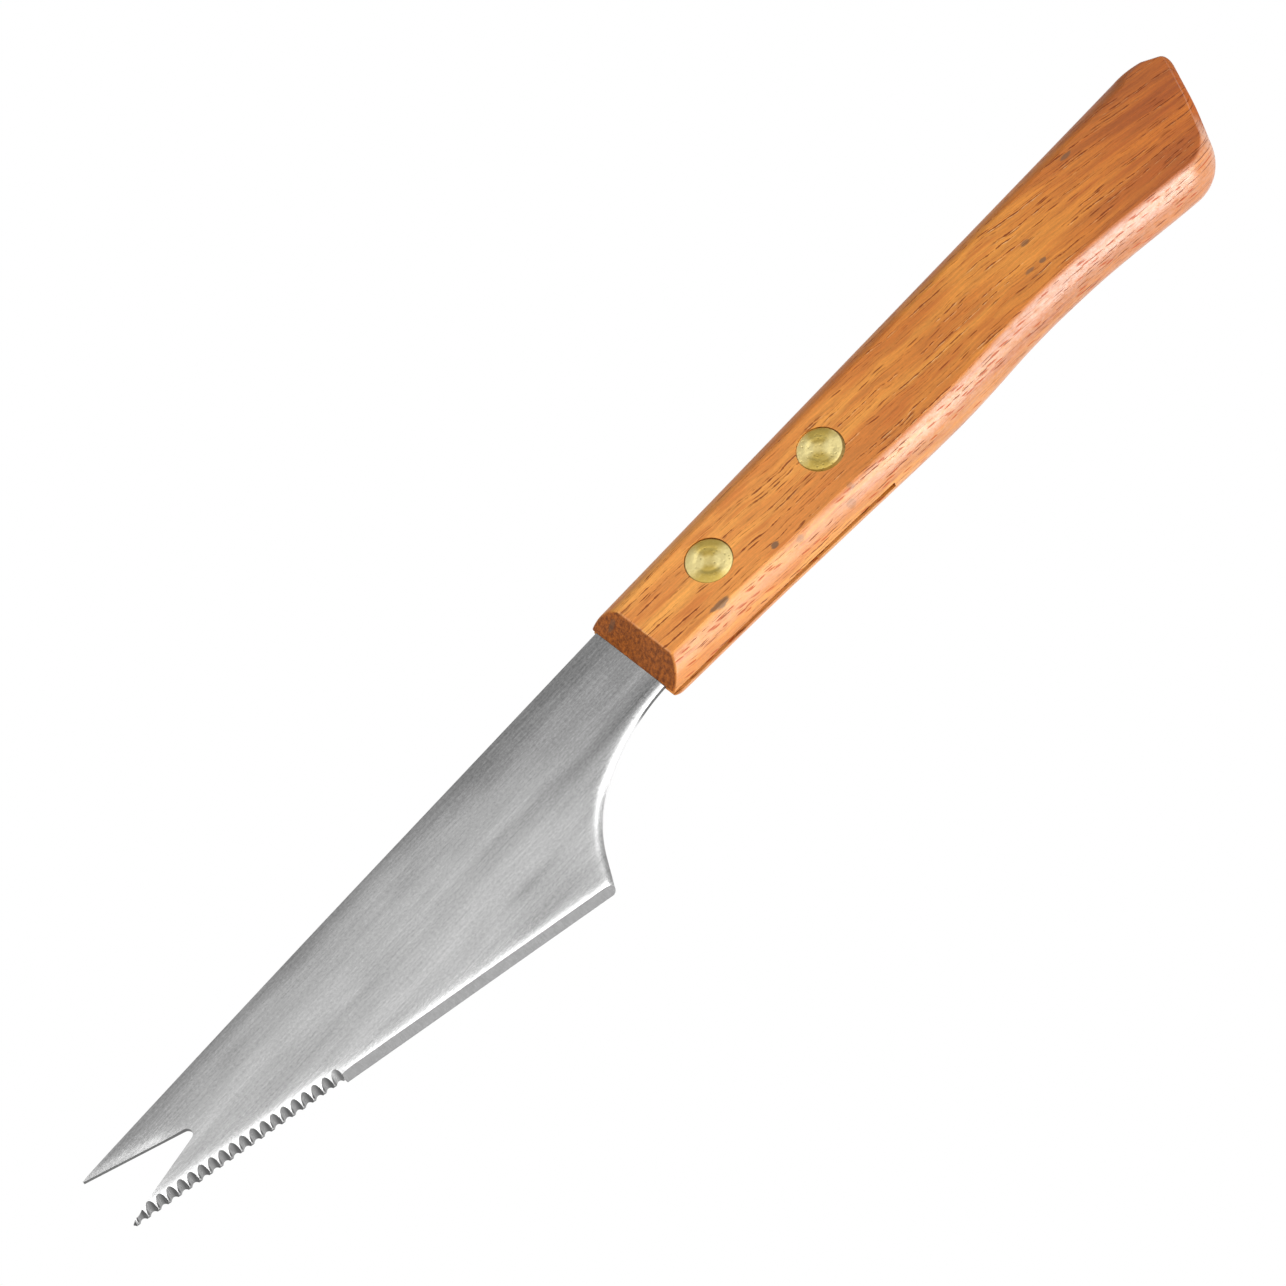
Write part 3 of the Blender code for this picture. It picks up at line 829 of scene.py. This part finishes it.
def varnished_wood():
    mm = new_material("varnished_wood")
    x, y, z = mm.split()
    along, across, side = surface_place(mm)

    def grain(lengthwise, crosswise, seed, detail=3.0, roughness=0.5):
        return join(lengthwise * along, crosswise * across, seed).noise(detail=detail, roughness=roughness)

    bands = grain(0.030, 0.34, 0.3)
    rings = grain(0.055, 1.00, 4.7, roughness=0.6)
    fibres = grain(0.24, 5.2, 8.1, detail=4.0, roughness=0.68)
    figure = grain(0.11, 1.7, 2.2)
    groups = grain(0.06, 0.35, 12.5, detail=1.0)
    speckle = mm.noise((2.2, 3.4, 3.4), detail=4.0, roughness=0.7)
    track = across + 0.10 * (mm.noise((0.9, 1.6, 1.6)) - 0.5)

    middle = x.ramp(18.0, 62.0)
    butt = x.ramp(70.0, 112.0)
    corner = x.ramp(80.0, 108.0) * y.ramp(-3.0, 7.0)
    spine_side_painted_shade = side * y.ramp(*UNDERSIDE_TO_SPINE)
    underside = side * (1 - y.ramp(*UNDERSIDE_TO_SPINE))
    butt_end = side * x.ramp(103.0, 108.5) * y.ramp(-10.0, -6.0)
    sawn = (1 - abs(z).ramp(0.50, 0.56)) * (1 - x.ramp(39.0, 39.4))
    light = mix(middle, FRONT_LIGHT, MIDDLE_LIGHT).under((butt, BUTT_LIGHT))
    deep = mix(middle, FRONT_DEEP, MIDDLE_DEEP).under((butt, BUTT_DEEP))
    warm = light.under(
        (bands.ramp(0.36, 0.66), deep),
        (0.62 * rings.ramp(0.46, 0.68), deep),
        (0.50 * corner, (0.240, 0.060, 0.006)),
        (0.60 * butt_end, (0.500, 0.110, 0.008)),
        # Painted light: the underside near the butt is lighter, on the side the wall lamp lights.
        (0.55 * underside * butt * (1 - butt_end), (0.860, 0.300, 0.040)),
        # Painted shade: the spine side, turned away from the lamps, is darker.
        (0.45 * spine_side_painted_shade, (0.300, 0.100, 0.020)),
        # Painted light: the kerf walls are paler, against the shade inside the slot.
        (0.70 * sawn, (1.000, 0.560, 0.200)),
    )
    shade = 1.0 + 0.80 * (fibres - 0.5) + 0.42 * (speckle - 0.5) + 0.50 * (figure - 0.5)

    streaks = vessels(along, track, 8.0, 0.75, 0.35, 31.4) * groups.ramp(0.30, 0.55)
    bold = pore_chains(along, track, 1.05, 0.160, 12.0, 5.9, 0.3)
    bold = bold.most(vessels(along, track, 3.0, 0.28, 0.035, 3.3))
    thin = pore_chains(along, track, 0.60, 0.085, 7.0, 9.3, 0.2)
    dashes = vessels(along, across, 2.0, 0.48, 0.13, 17.2) * underside
    pale = pore_chains(along, track + 0.15, 1.05, 0.110, 12.0, 5.9, 1.0) * (1 - side)
    pale = pale * (0.25 + 0.75 * x.ramp(22.0, 50.0)) * (1 - 0.6 * butt)
    pits = bold.most(dashes).most(0.6 * thin)
    end = mm.graph.add("ShaderNodeAttribute", attribute_name="end_grain").out("Fac")
    mottle = mm.noise((1.1, 2.0, 2.0), detail=4.0, roughness=0.8)
    colour = warm.scaled(shade).under(
        (0.40 * streaks, (0.520, 0.115, 0.008)),
        (0.65 * thin, (0.330, 0.070, 0.005)),
        (0.88 * bold, (0.210, 0.038, 0.003)),
        (0.75 * dashes, (0.480, 0.060, 0.006)),
        # Pale dashes beside the pores: partly pale filler, partly a painted glint at the pores' edge.
        (0.48 * pale, (0.920, 0.600, 0.280)),
        (end, mix(mottle.ramp(0.36, 0.66), (0.170, 0.040, 0.003), (0.460, 0.125, 0.012))),
        (spots(x, y, z), (0.120, 0.072, 0.040)),
    )

    peel = mm.noise((1.6, 3.0, 3.0), detail=3.0, roughness=0.6)
    bump = (0.30 * fibres - pits + 0.5 * peel).bump(0.30, 0.05)
    gloss = 0.46 + 0.10 * (fibres - 0.5) + 0.2 * bold + 0.4 * butt_end
    grains = mm.noise((1.0, 2.2, 2.2), detail=4.0, roughness=0.8)
    low = 0.60 + 0.40 * abs(z).ramp(0.3, 1.4)
    coat = underside * (0.22 + 0.58 * x.ramp(25.0, 58.0)) * low * (1 + 3.0 * (grains - 0.5))
    coat = (0.20 * (1 - spine_side_painted_shade) + coat) * (1 - butt_end) * (1 - 0.8 * pits.most(end))
    varnish = {"Coat_Weight": coat, "Coat_IOR": 2.2, "Coat_Roughness": 0.36, "Specular_IOR_Level": 0.30}
    return finish_material(colour, gloss, bump, **varnish)


WOOD = varnished_wood()
print("wood:", len(WOOD.node_tree.nodes), "nodes")

# %% [markdown]
# ## The handle
# From above, the handle is an outline. In section, its sides follow an oval between the two flats, and its front is
# sawn back at a slant on both sides of the blade. That is a rule, so Geometry Nodes make the shape: Python lays down a
# sleeve of points, each of which knows which way is inwards, and the tree draws every ring in to its place on the
# oval. Changing a named input reshapes the whole handle.

# %% Handle outline
HANDLE_TOP_Y = 0.00807
HANDLE_TOP_SLOPE = tan(radians(-0.60))
UNDERSIDE = ((0.0, -0.00757), (0.0170, -0.00841), (0.0330, -0.00943), (0.0540, -0.01072))
UNDERSIDE += ((0.0690, -0.01052), (0.0770, -0.01082), (0.0850, -0.01155), (0.0970, -0.01330))
BUTT_CROWN_X = 0.1073
BUTT_TIP = Vector((0.1129, 0.0033))
BUTT_MIDDLE = Vector((0.1096, -0.0042))
BUTT_HEEL = Vector((0.1041, -0.0142))
BUTT_RADII = (0.0090, 0.0017, 0.0400, 0.0073)
SPINE_ROUND = 0.0030
UNDERSIDE_ROUND = 0.0026
BUTT_ROUND = 0.0012
SPINE_RISE = 0.0002
UNDERSIDE_RISE = 0.0020
RISE_START_Y = 0.0002
RISE_RUN = 0.008
CORNER_RADIUS = 0.0004
CORNER_STEPS = 6
SIDE_START_X = 0.0045
UNDERSIDE_STEPS = 14
TOP_SPACING = 0.003
BUTT_SPACING = 0.0015


def catmull(points, steps):
    """A smooth curve through the given points."""
    knots = [2 * points[0] - points[1]] + points + [2 * points[-1] - points[-2]]
    curve = []
    for a, b, c, d in zip(knots, knots[1:], knots[2:], knots[3:]):
        for i in range(steps):
            t = i / steps
            bend = (2 * a - 5 * b + 4 * c - d) * t**2 + (3 * b - 3 * c + d - a) * t**3
            curve.append((2 * b + (c - a) * t + bend) / 2)
    return curve + [points[-1]]


def blend_rounding(points, first, last):
    count = len(points) - 1
    return [(p, first + (last - first) * i / count) for i, p in enumerate(points)]


def top_point(x):
    return Vector((x, HANDLE_TOP_Y + x * HANDLE_TOP_SLOPE))


def handle_outline():
    """Points along the top, round the butt and back along the underside, with their rounding."""
    underside = catmull([Vector(p) for p in reversed(UNDERSIDE)], UNDERSIDE_STEPS)
    corners = [top_point(0.0), top_point(BUTT_CROWN_X), BUTT_TIP, BUTT_MIDDLE, BUTT_HEEL, underside[0]]
    crown, tip, middle, heel = (fillet(*corners[i : i + 3], radius) for i, radius in enumerate(BUTT_RADII))
    top = subdivide([top_point(SIDE_START_X), crown[0]], TOP_SPACING)
    rounded = [(p, SPINE_ROUND) for p in top[:-1]]
    rounded += blend_rounding(crown, SPINE_ROUND, BUTT_ROUND)
    rounded += [(p, BUTT_ROUND) for p in subdivide(tip + middle, BUTT_SPACING)]
    rounded += blend_rounding(heel, BUTT_ROUND, UNDERSIDE_ROUND)
    rounded += [(p, UNDERSIDE_ROUND) for p in underside if p.x > SIDE_START_X]
    return rounded


def front_corner(y, side, slope, rounding, rise):
    """An eased corner of the sawn front, drawn at X zero, which slides back along its side."""
    corner = []
    for i in range(CORNER_STEPS + 1):
        a = pi / 2 * i / CORNER_STEPS
        point = CORNER_RADIUS * Vector((1 - cos(a), side * (sin(a) - 1))) + Vector((0.0, y))
        corner.append((point, (0.0, -side, 0.0), rounding, (1.0, slope, 0.0), rise))
    return corner


def handle_sleeve():
    """One ring's base points, each with its way inwards, rounding, slide and rise."""
    sides = handle_outline()
    line = [sides[0][0], *(point for point, _ in sides), sides[-1][0]]
    ring = front_corner(HANDLE_TOP_Y, 1, HANDLE_TOP_SLOPE, SPINE_ROUND, SPINE_RISE)
    for (point, rounding), before, after in zip(sides, line, line[2:]):
        run = (after - before).normalized()
        under = min(1.0, max(0.0, (RISE_START_Y - point.y) / RISE_RUN))
        rise = SPINE_RISE + (UNDERSIDE_RISE - SPINE_RISE) * under
        ring.append((point, (run.y, -run.x, 0.0), rounding, ORIGIN, rise))
    first, second = UNDERSIDE[:2]
    slope = (second[1] - first[1]) / (second[0] - first[0])
    return ring + front_corner(first[1], -1, slope, UNDERSIDE_ROUND, UNDERSIDE_RISE)[::-1]


sleeve = handle_sleeve()
print("handle ring:", len(sleeve), "points")

# %% Oval sides tree
SIDE_RINGS = 48
FRONT_FORM = {
    "Half_Thickness": HALF_HANDLE,
    "Front_Tip": -0.0006,
    "Front_Slope": tan(radians(38.5)),
    "Front_Ease": 0.0006,
}


def oval_tree():
    graph, given = geometry_tree("oval_sides", **FRONT_FORM)

    def carried(name, kind="FLOAT"):
        """A value that each point of the sleeve carries."""
        return graph.add("GeometryNodeInputNamedAttribute", {"Name": name}, data_type=kind)

    sleeve_shape, half, tip, slope, ease, material = given.values()
    height = carried("height")
    oval = half + carried("rise")

    def drawn_in(level):
        return 1 - graph.math("SQRT", 1 - (level / oval) ** 2)

    z = abs(height * half)
    inset = carried("rounding") * drawn_in(z) / drawn_in(half)
    turn = graph.math("ARCTANGENT", 1 / slope)
    tangent = ease * graph.math("TANGENT", turn / 2)
    round_x = tip + half * slope + tangent
    low = (z - half + ease).most(0)
    eased_x = round_x - graph.math("SQRT", (ease * ease - low * low).most(0))
    in_arc = graph.math("GREATER_THAN", z, half - tangent * graph.math("SINE", turn))
    front = (tip + z * slope) * (1 - in_arc) + eased_x * in_arc

    moved = carried("inward", "FLOAT_VECTOR").scaled(inset)
    slid = carried("slide", "FLOAT_VECTOR").scaled(front)
    lifted = graph.add("ShaderNodeCombineXYZ", {2: height * half})
    offset = graph.vector("ADD", graph.vector("ADD", moved, slid), lifted)
    shape = graph.add("GeometryNodeSetPosition", {"Geometry": sleeve_shape, "Offset": offset})
    return finish_tree(graph, shape, material)


OVAL_SIDES = oval_tree()


def handle_body():
    """The sleeve of rings, closed by a flat at each end and shaped by the tree."""
    heights = [sin(pi / 2 * (2 * i / SIDE_RINGS - 1)) for i in range(SIDE_RINGS + 1)]
    count = len(sleeve)
    faces = []
    for low in range(0, SIDE_RINGS * count, count):
        for i, j in zip(range(count), (*range(1, count), 0)):
            faces.append((low + i, low + count + i, low + count + j, low + j))
    faces += [range(count), range(SIDE_RINGS * count, (SIDE_RINGS + 1) * count)[::-1]]
    mesh = mesh_from("handle_dressed", [(*s[0], 0.0) for _ in heights for s in sleeve], faces)
    _, *columns = zip(*sleeve)
    carried = dict(zip(("inward", "rounding", "slide", "rise"), (np.array(c * len(heights)) for c in columns)))
    carried["height"] = np.repeat(heights, count)
    for name, values in carried.items():
        kind, key = ("FLOAT_VECTOR", "vector") if values.ndim == 2 else ("FLOAT", "value")
        mesh.attributes.new(name, kind, "POINT").data.foreach_set(key, values.ravel())
    handle = run_tree(add_object("handle_dressed", mesh), OVAL_SIDES, **FRONT_FORM, Material=WOOD)
    handle.data.transform(Matrix.Translation(KNIFE))
    for name in carried:
        handle.data.attributes.remove(handle.data.attributes[name])
    face_outwards(handle.data)
    return handle


handle = handle_body()
print("handle:", len(handle.data.polygons), "faces")

# %% [markdown]
# ## Saw kerf and rivet holes
# The kerf is a slot a little wider than the sheet, from the front to just behind the tang. Each rivet needs a hole
# with a wider seat for its head at both flats. A turned shape is a profile swept round a circle, so one tree makes
# every hole, and later every rivet half, from a list of radii and heights.

# %% Turning tree
LATHE = {"Segments": 96, "Circle": 0.05}
WELD_DISTANCE = 1e-6


def lathe_tree():
    graph, given = geometry_tree("turned_piece", Centre=ORIGIN, **LATHE)
    line, centre, segments, circle, material = given.values()
    profile = graph.add("GeometryNodeMeshToCurve", {"Mesh": line})
    ring = graph.add("GeometryNodeCurvePrimitiveCircle", {"Resolution": segments, "Radius": circle})
    swept = graph.add("GeometryNodeCurveToMesh", {"Curve": ring, "Profile Curve": profile})
    closed = graph.add("GeometryNodeMergeByDistance", {"Geometry": swept, "Distance": WELD_DISTANCE})
    placed = graph.add("GeometryNodeSetPosition", {"Geometry": closed, "Offset": centre})
    return finish_tree(graph, placed, material)


TURNED = lathe_tree()


def turned(name, profile, centre, material):
    """A closed piece turned about the vertical through a point, from (radius, height) pairs."""
    vertices = [(radius - LATHE["Circle"], height, 0.0) for radius, height in profile]
    edges = [(i, i + 1) for i in range(len(vertices) - 1)]
    place = tuple(Vector((*centre, 0.0)) + KNIFE)
    obj = add_object(name, mesh_from(name, vertices, [], edges=edges))
    run_tree(obj, TURNED, Centre=place, **LATHE, Material=material)
    face_outwards(obj.data)
    return obj


# %% Cut the handle
FRONT_RIVET_X = 0.0163
RIVET_SPACING = 0.0217
RIVET_LINE_ANGLE = radians(-2.0)
HEAD_DIAMETER = 0.0067
HEAD_HEIGHT = 0.0010
HEAD_SINK = 0.00005
HEAD_CROWN = HALF_HANDLE - HEAD_SINK
HEAD_SEAT = HEAD_CROWN - HEAD_HEIGHT
SOCKET_DIAMETER = 0.0036
POST_DIAMETER = 0.0020
FIT = 0.00006
KERF_WIDTH = 0.00106
KERF_FRONT, KERF_REACH, KERF_SIDE = -0.01, TANG_REACH + 0.0003, 0.04
HANDLE_CREASE = radians(11)
END_GRAIN_LEAN = 0.35


def rivet_places():
    step = unit(RIVET_LINE_ANGLE) * RIVET_SPACING
    middle = Vector((FRONT_RIVET_X + step.x / 2, 0.0))
    return {"front": middle - step / 2, "rear": middle + step / 2}


def kerf_cutter():
    y, z = KERF_SIDE, KERF_WIDTH / 2
    ends = ([(x, -y, -z), (x, y, -z), (x, y, z), (x, -y, z)] for x in (KERF_FRONT, KERF_REACH))
    return prism("kerf_cutter", *ends, WOOD)


def bore_cutter(name, place):
    head = HEAD_DIAMETER / 2 + FIT
    hole = SOCKET_DIAMETER / 2 + FIT
    seat = HEAD_SEAT - FIT
    out = 2 * HALF_HANDLE
    profile = [(0.0, -out), (head, -out), (head, -seat), (hole, -seat)]
    profile += [(hole, seat), (head, seat), (head, out), (0.0, out)]
    return turned(name + "_bore", profile, place, WOOD)


def mark_end_grain(obj):
    """Store on each face corner how squarely its face cuts across the grain at the front."""
    normals = np.array([n.vector for n in obj.data.corner_normals])
    values = np.clip((-normals[:, 0] - END_GRAIN_LEAN) / END_GRAIN_LEAN, 0, 1)
    layer = obj.data.attributes.new("end_grain", "FLOAT", "CORNER")
    layer.data.foreach_set("value", values.astype(np.float32))


cut(handle, kerf_cutter())
for name, place in rivet_places().items():
    cut(handle, bore_cutter(name, place))
crease(handle, HANDLE_CREASE)
mark_end_grain(handle)
print("handle after cutting:", len(handle.data.polygons), "faces")
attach(handle, "root")
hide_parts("handle")

# %% [markdown]
# ## Brass
# The rivet heads were turned, set with a punch and sanded nearly flush with the wood. The punch leaves a shallow dish
# with a soft ring round it, and small pits. The yellow is a metal's own colour, broken by fine scratches. Two opposite
# sectors of each head are painted lighter as a painted sheen, and the ring gets painted shade in the other two.

# %% Brass material and rivets
HEAD_RIM_DROP = 0.00012
DISH_RADIUS = 0.0017
DISH_DEPTH = 0.00005
DISH_WIDTH = 0.0004
DOME_STEPS = 32


def nearest_rivet(mm):
    """Distance in mm from the nearer rivet's axis, and the way from it as X and Y."""
    graph = mm.graph
    middle = (FRONT_RIVET_X + RIVET_SPACING / 2) / MM
    rear = graph.math("GREATER_THAN", mm.split()[0], middle)
    centre = mix(rear, *((p.x / MM, p.y / MM, 0.0) for p in rivet_places().values()))
    offset = graph.vector("MULTIPLY", graph.vector("SUBTRACT", mm, centre), (1.0, 1.0, 0.0))
    radius = graph.vector("LENGTH", offset).out("Value")
    x, y, _ = offset.split()
    return radius, x / radius.most(0.01), y / radius.most(0.01)


def worn_brass_painted_sheen():
    mm = new_material("worn_brass_painted_sheen")
    radius, way_x, way_y = nearest_rivet(mm)
    clouds = mm.noise((0.8, 0.8, 0.0), (5.0, 1.0, 0.0), detail=3.0)
    fine = mm.noise((3.0, 3.0, 0.0), detail=3.0)
    pit = 1 - mm.graph.add("ShaderNodeTexVoronoi", {"Vector": mm, "Scale": 1.3}).ramp(0.06, 0.24)
    # Painted sheen: two opposite sectors of each head are lighter, as light falls on turned brass.
    painted_sheen_sector = (0.5 - way_x * way_y) + 0.35 * (clouds - 0.5)
    dished = radius.ramp(0.3, 1.2)
    # Painted shade in the ring round the dish, in the two darker sectors.
    painted_groove_shade = radius.ramp(1.40, 1.75) * (1 - radius.ramp(1.80, 2.15)) * (1 - painted_sheen_sector.ramp(0.2, 0.8))
    bright = dished * painted_sheen_sector.ramp(0.10, 0.95) + 0.55 * (1 - dished)
    colour = mix(bright + 0.55 * (fine - 0.5), (0.64, 0.46, 0.11), (1.00, 0.84, 0.38)).under(
        (0.40 * pit, (0.36, 0.28, 0.08)),
        (0.45 * painted_groove_shade, (0.36, 0.29, 0.09)),
        (0.85 * radius.ramp(3.18, 3.32), (0.24, 0.12, 0.02)),
    )
    gloss = 0.42 + 0.15 * pit + 0.06 * (clouds - 0.5)
    bump = (0.9 * clouds - 0.5 * pit + 0.12 * fine).bump(0.8, 0.08)
    return finish_material(colour, gloss, bump, Metallic=1.0)


BRASS = worn_brass_painted_sheen()


def head_profile(side):
    """A head from its centre to its seat: a shallow dome with the punch's dish and ring."""
    radius = HEAD_DIAMETER / 2
    dome = []
    for i in range(DOME_STEPS + 1):
        share = sin(pi / 2 * i / DOME_STEPS)
        r = radius * share
        ring = DISH_DEPTH * exp(-(((r - DISH_RADIUS) / DISH_WIDTH) ** 2))
        dish = DISH_DEPTH * max(0.0, 1 - (r / DISH_RADIUS) ** 2)
        dome.append((r, side * (HEAD_CROWN - HEAD_RIM_DROP * share**4 - ring - dish)))
    return dome + [(radius, side * HEAD_SEAT)]


def rivet_halves(name, place):
    post, socket, seat = POST_DIAMETER / 2, SOCKET_DIAMETER / 2, HEAD_SEAT
    upper = head_profile(1) + [(post, seat), (post, FIT - seat), (0.0, FIT - seat)]
    lower = head_profile(-1) + [(socket, -seat), (socket, seat - FIT), (post + FIT, seat - FIT)]
    lower += [(post + FIT, -seat), (0.0, -seat)]
    for kind, profile in (("post", upper), ("socket", lower)):
        half = turned(f"{name}_rivet_{kind}_dressed", profile, place, BRASS)
        crease(half)
        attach(half, "root")
        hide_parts(f"{name}_rivet_{kind}")
        print(half.name, len(half.data.polygons), "faces")


for name, place in rivet_places().items():
    rivet_halves(name, place)

# %% [markdown]
# ## Floor and light
# The photograph shows the knife on pure white with no shadow, as on a light table. So the floor glows evenly, and
# three soft boxes do the rest. The rolled rims mirror the overhead box as a bright line. It stands a little towards
# the butt, so that the flat of the blade doesn't mirror it to an eye straight above. The tall box on the side of the
# cutting edge lights the ground faces and the underside of the handle, and the third one the tines. The flat of the
# blade mirrors the dimmer room, whose light changes with the direction.

# %% Floor, world and lamps
FLOOR_SIZE = 6.0
FLOOR_Z = -0.0002
WHITE = (1.0, 1.0, 1.0, 1.0)


def glowing_white():
    graph = empty_graph(bpy.data.materials.new("light_table"))
    glow = graph.add("ShaderNodeEmission", {"Color": WHITE, "Strength": 1.0})
    graph.add("ShaderNodeOutputMaterial", {"Surface": glow})
    return graph.owner


signs = ((-1, -1), (1, -1), (1, 1), (-1, 1))
corners = [(x * FLOOR_SIZE / 2, y * FLOOR_SIZE / 2, FLOOR_Z) for x, y in signs]
floor = add_object("floor", mesh_from("floor", corners, [(0, 1, 2, 3)], glowing_white()))

scene = bpy.context.scene
scene.world = bpy.data.worlds.new("room")
sky = empty_graph(scene.world)
across, forward, _ = sky.add("ShaderNodeTexCoord").out("Generated").split()
left = (-1 * across).ramp(0.25, 0.95)
right = across.ramp(0.42, 0.66)
front = (-1 * forward).ramp(-0.10, 0.15)
behind = forward.ramp(0.48, 0.70)
strength = 0.52 - 0.28 * left + right * (0.60 * front - 0.28) - 0.25 * behind * (1 - right)
room_light = sky.add("ShaderNodeBackground", {"Color": WHITE, "Strength": strength})
sky.add("ShaderNodeOutputWorld", {"Surface": room_light})

# Direction from the knife, distance, width and height at a distance of one, radiance
LAMPS = {
    "overhead_box": ((0.195, -0.01, 0.98), 3.0, 0.46, 0.36, 3.0),
    "wall_box": ((0.026, -0.92, 0.38), 2.5, 0.60, 0.76, 4.3),
    "left_box": ((-0.55, 0.35, 0.75), 2.5, 0.60, 0.60, 2.8),
}
for name, (direction, distance, width, height, radiance) in LAMPS.items():
    light = bpy.data.lights.new(name, "AREA")
    light.shape = "RECTANGLE"
    light.size = width * distance
    light.size_y = height * distance
    light.energy = radiance * pi * light.size * light.size_y
    lamp = add_object(name, light)
    towards_lamp = Vector(direction).normalized()
    lamp.location = towards_lamp * distance
    lamp.rotation_euler = towards_lamp.to_track_quat("Z", "Y").to_euler()
print("lamps:", *LAMPS)

# %% [markdown]
# ## Camera
# The picture was taken from far away with a long lens. The camera's place was worked out from the circles of the rivet
# heads and from the handle's sawn front: it looks down from the side of the cutting edge, rolled so that the knife
# lies along the diagonal.

# %% Camera
LENS_MM = 251.94
SENSOR_MM = 36.0
AIM = Vector((-0.02437, 0.00124, 0.0045))
AZIMUTH = radians(-24.982)
ELEVATION = radians(61.380)
ROLL = radians(-24.425)
DISTANCE = 1.21148

camera_data = bpy.data.cameras.new("camera")
camera_data.sensor_width = SENSOR_MM
camera_data.lens = LENS_MM
camera_data.clip_start = 0.05
camera_data.clip_end = 20.0
camera = add_object("camera", camera_data)
level = cos(ELEVATION)
towards = Vector((sin(AZIMUTH) * level, -cos(AZIMUTH) * level, sin(ELEVATION)))
camera.location = AIM + towards * DISTANCE
camera.rotation_mode = "QUATERNION"
camera.rotation_quaternion = towards.to_track_quat("Z", "Y") @ Quaternion((0.0, 0.0, 1.0), ROLL)
scene.camera = camera
scene.view_settings.view_transform = "Standard"
print("camera at", [round(c, 4) for c in camera.location])
